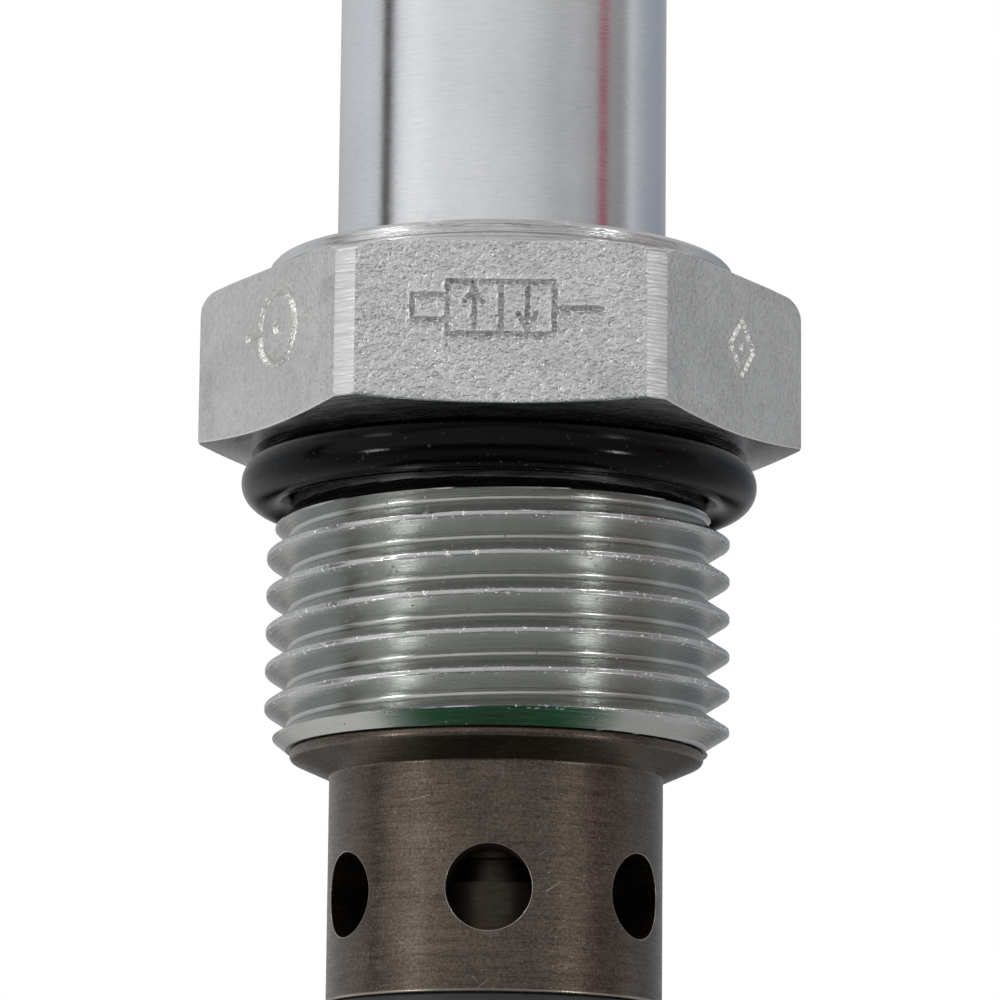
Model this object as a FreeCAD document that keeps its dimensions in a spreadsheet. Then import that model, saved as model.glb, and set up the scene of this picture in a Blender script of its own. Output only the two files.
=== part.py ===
"""Two-way solenoid cartridge valve, spool type, normally open, without its coil.

Frame: +Z runs up the stem, and z = 0 is the seat, the face under the hexagon that rests on the manifold.
The valve screws into its cavity downwards, so the thread, cage and nose lie below z = 0 and the stem above it.
Everything is in millimetres. The spool is at rest, with the coil off and the return spring holding it down.
"""
import FreeCAD, Part
import math
import os

import Sketcher

# Driving dimensions: alias, value in mm (or degrees, or a count), meaning.
DIMENSIONS = [
    ("hex_flats", 25.4, "body hexagon across flats"),
    ("hex_corner_radius", 14.5, "turned radius that cuts the hexagon's corners"),
    ("washer_radius", 11.87, "flat seat face under the hexagon"),
    ("hex_corner_low", 0.6, "height of the hexagon's lower corners"),
    ("hex_corner_high", 6.96, "height where the hexagon's upper corners start to round over"),
    ("hex_round_low_radius", 14.37, "upper corner's rounding, first point: radius"),
    ("hex_round_low", 7.43, "upper corner's rounding, first point: height"),
    ("hex_round_high_radius", 14.08, "upper corner's rounding, second point: radius"),
    ("hex_round_high", 7.75, "upper corner's rounding, second point: height"),
    ("hex_crown_radius", 13.6, "radius where the rounding meets the hexagon's shallow top"),
    ("hex_crown", 7.88, "height where the rounding meets the hexagon's shallow top"),
    ("hex_top", 8.1, "height where the hexagon's top meets the collar"),
    ("collar_radius", 11.25, "collar above the hexagon"),
    ("collar_lip_radius", 11.0, "collar at its top, after its chamfer"),
    ("collar_shoulder", 8.95, "height where the collar's chamfer starts"),
    ("collar_top", 9.25, "height of the collar's top"),
    ("neck_radius", 9.85, "neck that the port seal sits on"),
    ("neck_length", 2.7, "neck, from the seat down"),
    ("thread_start", 3.93, "depth where the thread's upper chamfer ends"),
    ("thread_radius", 11.08, "7/8-14 UNF thread over its crests"),
    ("thread_pitch", 1.8143, "14 threads per inch"),
    ("thread_depth", 1.1, "crest to root"),
    ("thread_crest", 0.32, "width of the crest"),
    ("thread_root", 0.22, "width of the root"),
    ("thread_phase", 5.06, "depth of the first groove on the +X side"),
    ("thread_end", 14.28, "depth of the body's lower end"),
    ("thread_chamfer_radius", 10.05, "body's lower end after its chamfer"),
    ("thread_chamfer_length", 0.8, "height of that chamfer"),
    ("web_top", 3.0, "depth of the web's top, where the armature stops"),
    ("web_bottom", 4.6, "depth of the web's underside"),
    ("web_bore_radius", 4.2, "hole in the web, for the pull rod"),
    ("stem_radius", 7.9375, "stem outside, 5/8 inch across"),
    ("spigot_radius", 7.7, "stem tube where it's held in the body"),
    ("tube_bore_radius", 6.4, "bore that the armature slides in"),
    ("edge_break", 0.4, "small chamfers on turned parts"),
    ("seat_gap", 0.05, "radial gap round parts that lie loose in a bore"),
    ("tube_groove_low", 3.2, "lower edge of the tube seal's groove"),
    ("tube_seal_wire", 0.735, "tube seal's cord radius"),
    ("tube_seal_groove", 2.6, "tube seal's groove width"),
    ("tube_backup_thickness", 1.0, "tube seal's backup ring"),
    ("ring_low", 26.5, "lower end of the non-magnetic ring"),
    ("ring_high", 31.0, "upper end of the non-magnetic ring"),
    ("armature_radius", 6.35, "armature outside"),
    ("washer_thickness", 0.5, "washer that the armature lands on"),
    ("washer_bore_radius", 4.3, "washer's hole"),
    ("armature_low", 2.49, "depth of the armature's lower face"),
    ("armature_high", 27.3, "height of the armature's upper face"),
    ("armature_slot_radius", 2.15, "half width of the slot for the rod's neck"),
    ("armature_head_radius", 3.4, "half width of the slot for the rod's head"),
    ("armature_head_low", 1.5, "lower face of the head slot"),
    ("armature_head_high", 3.4, "upper face of the head slot"),
    ("armature_vent_radius", 1.0, "oil hole through the armature"),
    ("armature_groove_width", 1.4, "oil groove down the armature's side"),
    ("armature_groove_depth", 0.8, "oil groove's depth"),
    ("spring_pocket_radius", 3.4, "pocket for the return spring"),
    ("spring_pocket_low", 17.2, "bottom of the pocket in the armature"),
    ("spring_pocket_high", 35.7, "top of the pocket in the pole piece"),
    ("spring_seat_thickness", 0.8, "spring seat's washer"),
    ("spring_radius", 2.75, "return spring's mean radius"),
    ("spring_wire_radius", 0.42, "return spring's wire radius"),
    ("spring_pitch", 2.3, "return spring's pitch, valve at rest"),
    ("shim_thickness", 0.2, "anti-stick shim"),
    ("shim_radius", 6.0, "anti-stick shim outside"),
    ("stroke", 2.2, "armature and spool travel"),
    ("pole_nose_radius", 6.38, "pole piece inside the non-magnetic ring"),
    ("stem_shoulder", 57.5, "top of the full-width stem"),
    ("stud_relief_radius", 5.45, "undercut below the stud's thread"),
    ("stud_relief_length", 1.4, "undercut's length"),
    ("stud_radius", 6.3, "1/2-20 UNF stud over its crests"),
    ("stud_top", 67.2, "top of the stud"),
    ("stud_pitch", 1.27, "20 threads per inch"),
    ("stud_depth", 0.72, "stud thread, crest to root"),
    ("stud_crest", 0.2, "width of the stud thread's crest"),
    ("stud_root", 0.2, "width of the stud thread's root"),
    ("port_seal_middle", 11.13, "port seal's middle radius"),
    ("port_seal_wire", 1.24, "port seal's cord radius"),
    ("port_seal_depth", 1.42, "depth of the port seal's middle"),
    ("cage_radius", 7.9375, "cage and nose outside, 5/8 inch across"),
    ("cage_bore_radius", 5.0, "bore that the spool slides in"),
    ("cage_neck_radius", 8.2, "cage's neck inside the body"),
    ("cage_flange_radius", 9.85, "cage's flange below the body"),
    ("cage_flange_edge", 14.72, "depth where the flange starts to taper"),
    ("cage_flange_end", 15.57, "depth where the taper meets the cage"),
    ("cage_seal_depth", 7.6, "depth of the cage seal's middle"),
    ("cage_seal_wire", 0.62, "cage seal's cord radius"),
    ("cage_seal_groove", 1.9, "cage seal's groove width"),
    ("port_depth", 21.47, "depth of the side ports' middle"),
    ("port_radius", 1.99, "side port"),
    ("port_count", 6, "side ports"),
    ("port_turn", -2.15, "degrees that the side ports are turned from the hexagon's flats"),
    ("nose_groove_top", 26.27, "depth of the nose groove's upper edge"),
    ("nose_groove_bottom", 31.07, "depth of the nose groove's lower edge"),
    ("nose_groove_radius", 6.35, "bottom of the nose groove"),
    ("nose_end", 34.3, "depth of the nose's end"),
    ("nose_chamfer", 0.7, "chamfer round the nose's end"),
    ("backup_thickness", 1.3, "backup ring"),
    ("backup_radius", 7.75, "backup ring outside"),
    ("nose_seal_wire", 0.86, "nose seal's cord radius"),
    ("spool_radius", 4.97, "spool over its lands"),
    ("spool_high", 7.2, "depth of the spool's top"),
    ("spool_low", 32.2, "depth of the spool's end"),
    ("spool_groove_top", 19.8, "depth of the metering groove's upper edge"),
    ("spool_groove_bottom", 20.93, "depth of the metering groove's lower edge"),
    ("spool_groove_radius", 3.95, "bottom of the metering groove"),
    ("spool_bore_radius", 2.9, "spool's bore, open to the nose port"),
    ("spool_bore_top", 18.9, "depth of the bore's blind end"),
    ("spool_port_radius", 1.1, "spool's cross holes"),
    ("spool_turn", 42.85, "degrees that the cross holes are turned, clear of the side ports"),
    ("balance_groove_width", 0.35, "spool's balancing grooves"),
    ("balance_groove_depth", 0.3, "their depth"),
    ("vent_radius", 0.5, "drilled vent along the spool"),
    ("vent_offset", 3.0, "vent's distance from the axis"),
    ("rod_radius", 2.0, "pull rod"),
    ("rod_low", 12.0, "depth of the pull rod's end in the spool"),
    ("rod_head_radius", 3.2, "pull rod's head"),
    ("rod_head_low", 1.58, "underside of the rod's head"),
    ("rod_head_high", 3.3, "top of the rod's head"),
    ("pin_radius", 0.75, "roll pin through the spool and the rod"),
    ("pin_depth", 9.6, "depth of the roll pin"),
    ("pin_half_length", 4.7, "half of the roll pin's length"),
    ("stop_ring_depth", 33.2, "depth of the spool's stop ring"),
    ("stop_ring_middle", 4.98, "stop ring's middle radius"),
    ("stop_ring_wire", 0.5, "stop ring's wire radius"),
]
TURNS_BELOW = 6  # turns of port thread below the first groove
HEX_VERTEX = 1 / math.sqrt(3)  # a hexagon's vertex radius over its width across flats
THREAD_EXTRA = 0.1  # how far a thread cutter reaches past the surface it cuts
CUT_CLEAR = 1.0  # how far other cutters reach past the surface

doc = FreeCAD.newDocument("cartridge_valve")
sheet = doc.addObject("Spreadsheet::Sheet", "Sizes")


class Size:
    """A length with its value now and the expression that keeps it bound to the sheet."""

    def __init__(self, value, text):
        self.value = value
        self.text = text

    def _join(self, other, sign, value):
        text = other.text if isinstance(other, Size) else repr(float(other))
        return Size(value, f"({self.text} {sign} {text})")

    def __add__(self, other):
        return self._join(other, "+", self.value + number(other))

    def __sub__(self, other):
        return self._join(other, "-", self.value - number(other))

    def __mul__(self, other):
        return self._join(other, "*", self.value * number(other))

    def __truediv__(self, other):
        return self._join(other, "/", self.value / number(other))

    def __rsub__(self, other):
        return -self + other

    def __neg__(self):
        return Size(-self.value, f"(0 - {self.text})")


def number(size):
    return size.value if isinstance(size, Size) else float(size)


class Sheet:
    """The driving dimensions, each an attribute of this object that is a Size."""

    def __init__(self):
        for row, (alias, value, meaning) in enumerate(DIMENSIONS, start=1):
            sheet.set(f"A{row}", str(value))
            sheet.setAlias(f"A{row}", alias)
            sheet.set(f"B{row}", meaning)
            setattr(self, alias, Size(float(value), f"Sizes.{alias}"))


d = Sheet()
SEAT = Size(0.0, "0")
doc.recompute()
parts = []  # the objects that become nodes, in the order that they are made


# ---------------------------------------------------------------- sketches and features

def new_body(label):
    body = doc.addObject("PartDesign::Body", label)
    body.Label = label
    parts.append(body)
    return body


def plane(body, role):
    return next(f for f in body.Origin.OriginFeatures if f.Role == role)


def new_sketch(body, name, role="XZ_Plane", offset=None):
    """A sketch on one of the body's own origin planes, moved along the plane's normal by offset."""
    sketch = body.newObject("Sketcher::SketchObject", name)
    sketch.AttachmentSupport = (plane(body, role), [""])
    sketch.MapMode = "FlatFace"
    if offset is not None:
        sketch.setExpression("AttachmentOffset.Base.z", offset.text)
    return sketch


def pin_point(sketch, index, point, x, y):
    """Holds one end of a sketch element at (x, y), both Sizes or plain zero."""
    for kind, size, axis in (("DistanceX", x, -2), ("DistanceY", y, -1)):
        if isinstance(size, Size):
            held = sketch.addConstraint(Sketcher.Constraint(kind, -1, 1, index, point, size.value))
            sketch.setExpression(f"Constraints[{held}]", size.text)
        else:
            sketch.addConstraint(Sketcher.Constraint("PointOnObject", index, point, axis))


def add_polygon(sketch, corners):
    """A closed polygon through the corners, each held by its two coordinates."""
    points = [FreeCAD.Vector(number(x), number(y), 0) for x, y in corners]
    first = sketch.GeometryCount
    count = len(points)
    for i in range(count):
        sketch.addGeometry(Part.LineSegment(points[i], points[(i + 1) % count]), False)
    for i in range(count):
        sketch.addConstraint(Sketcher.Constraint("Coincident", first + i, 2, first + (i + 1) % count, 1))
    for i, (x, y) in enumerate(corners):
        pin_point(sketch, first + i, 1, x, y)


def add_circle(sketch, x, y, radius):
    centre = FreeCAD.Vector(number(x), number(y), 0)
    index = sketch.addGeometry(Part.Circle(centre, FreeCAD.Vector(0, 0, 1), radius.value), False)
    pin_point(sketch, index, 3, x, y)
    held = sketch.addConstraint(Sketcher.Constraint("Radius", index, radius.value))
    sketch.setExpression(f"Constraints[{held}]", radius.text)


def turned(body, name, corners, kind="PartDesign::Revolution"):
    """Revolves a closed outline of (radius, height) corners about Z, adding or, as a Groove, cutting."""
    sketch = new_sketch(body, name + "_outline")
    add_polygon(sketch, corners)
    feature = body.newObject(kind, name)
    feature.Profile = sketch
    feature.ReferenceAxis = (sketch, ["V_Axis"])
    feature.Angle = 360.0
    body.Tip = feature
    return feature


def pocket(body, name, sketch, length, reverse=False, both=False):
    feature = body.newObject("PartDesign::Pocket", name)
    feature.Profile = sketch
    feature.Type = "Length"
    feature.setExpression("Length", length.text)
    feature.Reversed = reverse
    if both:
        feature.Midplane = True
    body.Tip = feature
    return feature


def around(body, name, original, count):
    """Repeats a feature evenly round Z."""
    pattern = body.newObject("PartDesign::PolarPattern", name)
    pattern.Originals = [original]
    pattern.Axis = (plane(body, "Z_Axis"), [""])
    pattern.Angle = 360.0
    if isinstance(count, Size):
        pattern.setExpression("Occurrences", count.text)
    else:
        pattern.Occurrences = count
    body.Tip = pattern
    return pattern


def mill_hexagon(body, name, flats, blank_radius, low, high):
    """Cuts a turned blank to a hexagon between two heights, with a flat facing -Y."""
    sketch = new_sketch(body, name + "_outline", "XY_Plane", high)
    add_circle(sketch, 0, 0, blank_radius + CUT_CLEAR)
    tip = flats * HEX_VERTEX
    half = flats / 2
    add_polygon(sketch, [
        (tip, 0),
        (tip / 2, half),
        (-tip / 2, half),
        (-tip, 0),
        (-tip / 2, -half),
        (tip / 2, -half),
    ])
    return pocket(body, name, sketch, high - low)


def cut_thread(body, name, groove, pitch, height):
    """Cuts a right-hand helical groove that climbs by height. groove is the cutter's outline on the +X side."""
    sketch = new_sketch(body, name + "_cutter")
    add_polygon(sketch, groove)
    feature = body.newObject("PartDesign::SubtractiveHelix", name)
    feature.Profile = sketch
    feature.ReferenceAxis = (sketch, ["V_Axis"])
    feature.Mode = "pitch-height-angle"
    feature.setExpression("Pitch", pitch.text)
    feature.setExpression("Height", height.text)
    feature.Angle = 0.0
    body.Tip = feature


def v_groove(root_radius, crest_radius, root_width, mouth_width, middle):
    """A thread groove's outline, carried on at the same slope past the crests."""
    slope = (mouth_width - root_width) / (crest_radius - root_radius)
    wide = mouth_width + slope * THREAD_EXTRA
    return [
        (root_radius, middle - root_width / 2),
        (crest_radius + THREAD_EXTRA, middle - wide / 2),
        (crest_radius + THREAD_EXTRA, middle + wide / 2),
        (root_radius, middle + root_width / 2),
    ]


def o_ring(label, middle_radius, wire_radius, height):
    ring = doc.addObject("Part::Torus", label)
    ring.Label = label
    ring.setExpression("Radius1", middle_radius.text)
    ring.setExpression("Radius2", wire_radius.text)
    ring.setExpression("Placement.Base.z", height.text)
    parts.append(ring)
    return ring


def plain_ring(label, inner, outer, low, high):
    body = new_body(label)
    turned(body, label + "_ring", [(inner, low), (outer, low), (outer, high), (inner, high)])
    return body


# ---------------------------------------------------------------- the body and its seals

def make_hex_body():
    """Plated steel adapter: hexagon, collar, seal neck and the 7/8-14 thread, bored for the tube and the cage."""
    body = new_body("hex_body")
    turned(body, "body_blank", [
        (d.web_bore_radius, -d.web_bottom),
        (d.cage_neck_radius, -d.web_bottom),
        (d.cage_neck_radius, -d.thread_end),
        (d.thread_chamfer_radius, -d.thread_end),
        (d.thread_radius, d.thread_chamfer_length - d.thread_end),
        (d.thread_radius, -d.thread_start),
        (d.neck_radius, -d.neck_length),
        (d.neck_radius, 0),
        (d.washer_radius, 0),
        (d.hex_corner_radius, d.hex_corner_low),
        (d.hex_corner_radius, d.hex_corner_high),
        (d.hex_round_low_radius, d.hex_round_low),
        (d.hex_round_high_radius, d.hex_round_high),
        (d.hex_crown_radius, d.hex_crown),
        (d.collar_radius, d.hex_top),
        (d.collar_radius, d.collar_shoulder),
        (d.collar_lip_radius, d.collar_top),
        (d.spigot_radius, d.collar_top),
        (d.spigot_radius, -d.web_top),
        (d.web_bore_radius, -d.web_top),
    ])
    groove_radius = d.spigot_radius + d.tube_seal_wire * 2
    turned(body, "tube_seal_groove", [
        (d.spigot_radius - CUT_CLEAR, d.tube_groove_low),
        (groove_radius, d.tube_groove_low),
        (groove_radius, d.tube_groove_low + d.tube_seal_groove),
        (d.spigot_radius - CUT_CLEAR, d.tube_groove_low + d.tube_seal_groove),
    ], "PartDesign::Groove")
    mill_hexagon(body, "hexagon", d.hex_flats, d.hex_corner_radius, SEAT, d.hex_top)
    start = -d.thread_phase - d.thread_pitch * TURNS_BELOW
    groove = v_groove(d.thread_radius - d.thread_depth, d.thread_radius, d.thread_root,
                      d.thread_pitch - d.thread_crest, start)
    cut_thread(body, "port_thread", groove, d.thread_pitch, -start - d.neck_length / 2)


def make_housing_seals():
    o_ring("port_seal", d.port_seal_middle, d.port_seal_wire, -d.port_seal_depth)
    o_ring("tube_seal", d.spigot_radius + d.tube_seal_wire, d.tube_seal_wire, d.tube_groove_low + d.tube_seal_wire)
    backup_top = d.tube_groove_low + d.tube_seal_groove
    plain_ring("tube_backup_ring", d.spigot_radius, d.spigot_radius + d.tube_seal_wire * 2,
               backup_top - d.tube_backup_thickness, backup_top)
    o_ring("cage_seal", d.cage_neck_radius - d.cage_seal_wire, d.cage_seal_wire, -d.cage_seal_depth)
    groove_middle = (d.nose_groove_top + d.nose_groove_bottom) / 2
    o_ring("nose_seal", d.nose_groove_radius + d.nose_seal_wire, d.nose_seal_wire, -groove_middle)
    plain_ring("nose_backup_upper", d.nose_groove_radius, d.backup_radius,
               -d.nose_groove_top - d.backup_thickness, -d.nose_groove_top)
    plain_ring("nose_backup_lower", d.nose_groove_radius, d.backup_radius,
               -d.nose_groove_bottom, d.backup_thickness - d.nose_groove_bottom)


# ---------------------------------------------------------------- the stem

def make_stem():
    tube = new_body("stem_tube")
    turned(tube, "tube_blank", [
        (d.tube_bore_radius, -d.web_top),
        (d.spigot_radius, -d.web_top),
        (d.spigot_radius, d.collar_top),
        (d.stem_radius, d.collar_top),
        (d.stem_radius, d.ring_low),
        (d.tube_bore_radius, d.ring_low),
    ])
    plain_ring("nonmagnetic_ring", d.tube_bore_radius, d.stem_radius, d.ring_low, d.ring_high)


def make_pole_piece():
    """Fixed core that closes the stem's top, with the stud for the coil's nut."""
    body = new_body("pole_piece")
    nose = d.armature_high + d.shim_thickness + d.stroke
    edge = d.edge_break
    turned(body, "pole_blank", [
        (0, d.spring_pocket_high),
        (d.spring_pocket_radius, d.spring_pocket_high),
        (d.spring_pocket_radius, nose),
        (d.pole_nose_radius, nose),
        (d.pole_nose_radius, d.ring_high),
        (d.stem_radius, d.ring_high),
        (d.stem_radius, d.stem_shoulder - edge),
        (d.stem_radius - edge, d.stem_shoulder),
        (d.stud_relief_radius, d.stem_shoulder),
        (d.stud_relief_radius, d.stem_shoulder + d.stud_relief_length),
        (d.stud_radius, d.stem_shoulder + d.stud_relief_length + edge * 2),
        (d.stud_radius, d.stud_top - edge),
        (d.stud_radius - edge, d.stud_top),
        (0, d.stud_top),
    ])
    start = d.stem_shoulder + d.stud_relief_length / 2
    groove = v_groove(d.stud_radius - d.stud_depth, d.stud_radius, d.stud_root,
                      d.stud_pitch - d.stud_crest, start)
    cut_thread(body, "stud_thread", groove, d.stud_pitch, d.stud_top + d.stud_pitch - start)


# ---------------------------------------------------------------- the armature group

def make_armature():
    """Soft iron plunger, with a spring pocket above and a side-entry T slot below for the pull rod."""
    body = new_body("armature")
    edge = d.edge_break
    turned(body, "armature_blank", [
        (d.armature_slot_radius, -d.armature_low),
        (d.armature_radius - edge, -d.armature_low),
        (d.armature_radius, edge - d.armature_low),
        (d.armature_radius, d.armature_high - edge),
        (d.armature_radius - edge, d.armature_high),
        (d.spring_pocket_radius, d.armature_high),
        (d.spring_pocket_radius, d.spring_pocket_low),
        (d.armature_vent_radius, d.spring_pocket_low),
        (d.armature_vent_radius, d.armature_head_high),
        (d.armature_head_radius, d.armature_head_high),
        (d.armature_head_radius, d.armature_head_low),
        (d.armature_slot_radius, d.armature_head_low),
    ])
    slot = new_sketch(body, "t_slot_outline")
    add_polygon(slot, [
        (-d.armature_slot_radius, -d.armature_low - CUT_CLEAR),
        (d.armature_slot_radius, -d.armature_low - CUT_CLEAR),
        (d.armature_slot_radius, d.armature_head_low),
        (d.armature_head_radius, d.armature_head_low),
        (d.armature_head_radius, d.armature_head_high),
        (-d.armature_head_radius, d.armature_head_high),
        (-d.armature_head_radius, d.armature_head_low),
        (-d.armature_slot_radius, d.armature_head_low),
    ])
    pocket(body, "t_slot", slot, d.armature_radius + CUT_CLEAR, reverse=True)
    grooves = new_sketch(body, "oil_groove_outline", "XY_Plane", d.armature_high + CUT_CLEAR)
    inner = d.armature_radius - d.armature_groove_depth
    add_polygon(grooves, [
        (inner, -d.armature_groove_width / 2),
        (d.armature_radius + CUT_CLEAR, -d.armature_groove_width / 2),
        (d.armature_radius + CUT_CLEAR, d.armature_groove_width / 2),
        (inner, d.armature_groove_width / 2),
    ])
    groove = pocket(body, "oil_groove", grooves, d.armature_high + d.armature_low + CUT_CLEAR * 2)
    around(body, "oil_grooves", groove, 2)


def make_armature_small_parts():
    plain_ring("armature_stop_washer", d.washer_bore_radius, d.tube_bore_radius - d.seat_gap,
               -d.web_top, d.washer_thickness - d.web_top)
    plain_ring("anti_stick_shim", d.spring_pocket_radius, d.shim_radius,
               d.armature_high, d.armature_high + d.shim_thickness)
    seat = new_body("spring_seat")
    guide = d.spring_radius - d.spring_wire_radius * 1.3
    top = d.spring_pocket_low + d.spring_seat_thickness
    turned(seat, "spring_seat_blank", [
        (d.armature_vent_radius, d.spring_pocket_low),
        (d.spring_pocket_radius - d.seat_gap, d.spring_pocket_low),
        (d.spring_pocket_radius - d.seat_gap, top),
        (guide, top),
        (guide, top + d.spring_wire_radius * 2),
        (d.armature_vent_radius, top + d.spring_wire_radius * 2),
    ])


def make_return_spring():
    body = new_body("return_spring")
    low = d.spring_pocket_low + d.spring_seat_thickness + d.spring_wire_radius + d.seat_gap
    high = d.spring_pocket_high - d.spring_wire_radius - d.seat_gap
    sketch = new_sketch(body, "spring_wire")
    add_circle(sketch, d.spring_radius, low, d.spring_wire_radius)
    coil = body.newObject("PartDesign::AdditiveHelix", "spring_coil")
    coil.Profile = sketch
    coil.ReferenceAxis = (sketch, ["V_Axis"])
    coil.Mode = "pitch-height-angle"
    coil.setExpression("Pitch", d.spring_pitch.text)
    coil.setExpression("Height", (high - low).text)
    coil.Angle = 0.0
    body.Tip = coil


# ---------------------------------------------------------------- the cage and the spool

def make_cage():
    """Hardened sleeve with the side ports, the nose groove and the spool's bore."""
    body = new_body("cage")
    seal_low = -d.cage_seal_depth - d.cage_seal_groove / 2
    seal_high = d.cage_seal_groove / 2 - d.cage_seal_depth
    seal_groove_radius = d.cage_neck_radius - d.cage_seal_wire * 2
    turned(body, "cage_blank", [
        (d.cage_bore_radius, -d.nose_end),
        (d.cage_radius - d.nose_chamfer, -d.nose_end),
        (d.cage_radius, d.nose_chamfer * 2 - d.nose_end),
        (d.cage_radius, -d.nose_groove_bottom),
        (d.nose_groove_radius, -d.nose_groove_bottom),
        (d.nose_groove_radius, -d.nose_groove_top),
        (d.cage_radius, -d.nose_groove_top),
        (d.cage_radius, -d.cage_flange_end),
        (d.cage_flange_radius, -d.cage_flange_edge),
        (d.cage_flange_radius, -d.thread_end),
        (d.cage_neck_radius, -d.thread_end),
        (d.cage_neck_radius, seal_low),
        (seal_groove_radius, seal_low),
        (seal_groove_radius, seal_high),
        (d.cage_neck_radius, seal_high),
        (d.cage_neck_radius, -d.web_bottom),
        (d.cage_bore_radius, -d.web_bottom),
    ])
    stop = d.stop_ring_wire + d.seat_gap
    turned(body, "stop_ring_groove", [
        (d.cage_bore_radius - CUT_CLEAR, -d.stop_ring_depth - stop),
        (d.stop_ring_middle + stop, -d.stop_ring_depth - stop),
        (d.stop_ring_middle + stop, stop - d.stop_ring_depth),
        (d.cage_bore_radius - CUT_CLEAR, stop - d.stop_ring_depth),
    ], "PartDesign::Groove")
    port = new_sketch(body, "side_port_outline")
    add_circle(port, 0, -d.port_depth, d.port_radius)
    hole = pocket(body, "side_port", port, d.cage_radius + CUT_CLEAR, reverse=True)
    around(body, "side_ports", hole, d.port_count)
    body.setExpression("Placement.Rotation.Angle", d.port_turn.text)


def make_spool():
    """Hollow spool: two lands, a metering groove with cross holes, and a bore to the nose port."""
    body = new_body("spool")
    corners = [
        (0, -d.spool_bore_top),
        (d.spool_bore_radius, -d.spool_bore_top),
        (d.spool_bore_radius, -d.spool_low),
        (d.spool_radius - d.edge_break, -d.spool_low),
        (d.spool_radius, d.edge_break - d.spool_low),
    ]
    corners += balance_grooves([30.0, 28.0, 26.0])
    corners += [
        (d.spool_radius, -d.spool_groove_bottom),
        (d.spool_groove_radius, -d.spool_groove_bottom),
        (d.spool_groove_radius, -d.spool_groove_top),
        (d.spool_radius, -d.spool_groove_top),
    ]
    corners += balance_grooves([16.4, 14.4, 12.4])
    corners += [
        (d.spool_radius, -d.spool_high - d.edge_break),
        (d.spool_radius - d.edge_break, -d.spool_high),
        (d.rod_radius, -d.spool_high),
        (d.rod_radius, -d.rod_low),
        (0, -d.rod_low),
    ]
    turned(body, "spool_blank", corners)
    across = new_sketch(body, "cross_hole_outline")
    add_circle(across, 0, -(d.spool_groove_top + d.spool_groove_bottom) / 2, d.spool_port_radius)
    hole = pocket(body, "cross_hole", across, d.spool_radius + CUT_CLEAR, reverse=True)
    around(body, "cross_holes", hole, 4)
    vent = new_sketch(body, "vent_outline", "XY_Plane", -d.spool_high)
    add_circle(vent, d.vent_offset, 0, d.vent_radius)
    pocket(body, "vent", vent, d.spool_bore_top + CUT_CLEAR - d.spool_high)
    cross_pin_hole(body, d.spool_radius)
    body.setExpression("Placement.Rotation.Angle", d.spool_turn.text)


def balance_grooves(depths):
    """Corners of narrow grooves in the spool's surface, from the lowest up."""
    corners = []
    floor = d.spool_radius - d.balance_groove_depth
    for depth in depths:
        low = SEAT - depth
        high = d.balance_groove_width - depth
        corners += [(d.spool_radius, low), (floor, low), (floor, high), (d.spool_radius, high)]
    return corners


def cross_pin_hole(body, radius):
    """The roll pin's hole, drilled right across a part of the spool group."""
    sketch = new_sketch(body, "pin_hole_outline")
    add_circle(sketch, 0, -d.pin_depth, d.pin_radius)
    pocket(body, "pin_hole", sketch, (radius + CUT_CLEAR) * 2, both=True)


def make_pull_rod():
    """Rod with a head that hangs in the armature's T slot, pinned into the spool's top."""
    body = new_body("pull_rod")
    turned(body, "rod_blank", [
        (0, -d.rod_low),
        (d.rod_radius, -d.rod_low),
        (d.rod_radius, d.rod_head_low),
        (d.rod_head_radius, d.rod_head_low),
        (d.rod_head_radius, d.rod_head_high),
        (0, d.rod_head_high),
    ])
    cross_pin_hole(body, d.rod_radius)
    body.setExpression("Placement.Rotation.Angle", d.spool_turn.text)


def make_roll_pin():
    body = new_body("rod_roll_pin")
    sketch = new_sketch(body, "pin_outline")
    add_circle(sketch, 0, -d.pin_depth, d.pin_radius)
    pin = body.newObject("PartDesign::Pad", "pin")
    pin.Profile = sketch
    pin.Midplane = True
    pin.setExpression("Length", (d.pin_half_length * 2).text)
    body.Tip = pin
    body.setExpression("Placement.Rotation.Angle", d.spool_turn.text)


def make_stop_ring():
    """Open wire ring in the nose's bore that keeps the spool from dropping out."""
    ring = doc.addObject("Part::Torus", "spool_stop_ring")
    ring.Label = "spool_stop_ring"
    ring.setExpression("Radius1", d.stop_ring_middle.text)
    ring.setExpression("Radius2", d.stop_ring_wire.text)
    ring.setExpression("Placement.Base.z", (-d.stop_ring_depth).text)
    ring.Angle3 = 320
    parts.append(ring)


make_hex_body()
make_housing_seals()
make_stem()
make_pole_piece()
make_armature()
make_armature_small_parts()
make_return_spring()
make_cage()
make_spool()
make_pull_rod()
make_roll_pin()
make_stop_ring()
doc.recompute()

for item in doc.Objects:
    bad = [s for s in item.State if s in ("Invalid", "Error")]
    if bad:
        raise SystemExit(f"{item.Label} failed: {item.State}")

os.makedirs("parts", exist_ok=True)
for part in parts:
    shape = part.Shape
    if shape.isNull() or not shape.isValid() or shape.Volume <= 0:
        raise SystemExit(f"{part.Label} has no valid shape")
    shape.exportStep(os.path.join("parts", part.Label + ".step"))
    box = shape.BoundBox
    print(f"{part.Label:20s} solids {len(shape.Solids)} volume {shape.Volume:9.2f} "
          f"z {box.ZMin:7.2f} to {box.ZMax:7.2f} width {box.XLength:6.2f}")
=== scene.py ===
"""Looks for the solenoid cartridge valve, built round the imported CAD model.

Lengths are in millimetres in the CAD frame unless a comment says otherwise. MM turns them into the scene's metres.
"""
import math

import bmesh
import bpy
import numpy as np
from mathutils import Matrix, Vector


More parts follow.
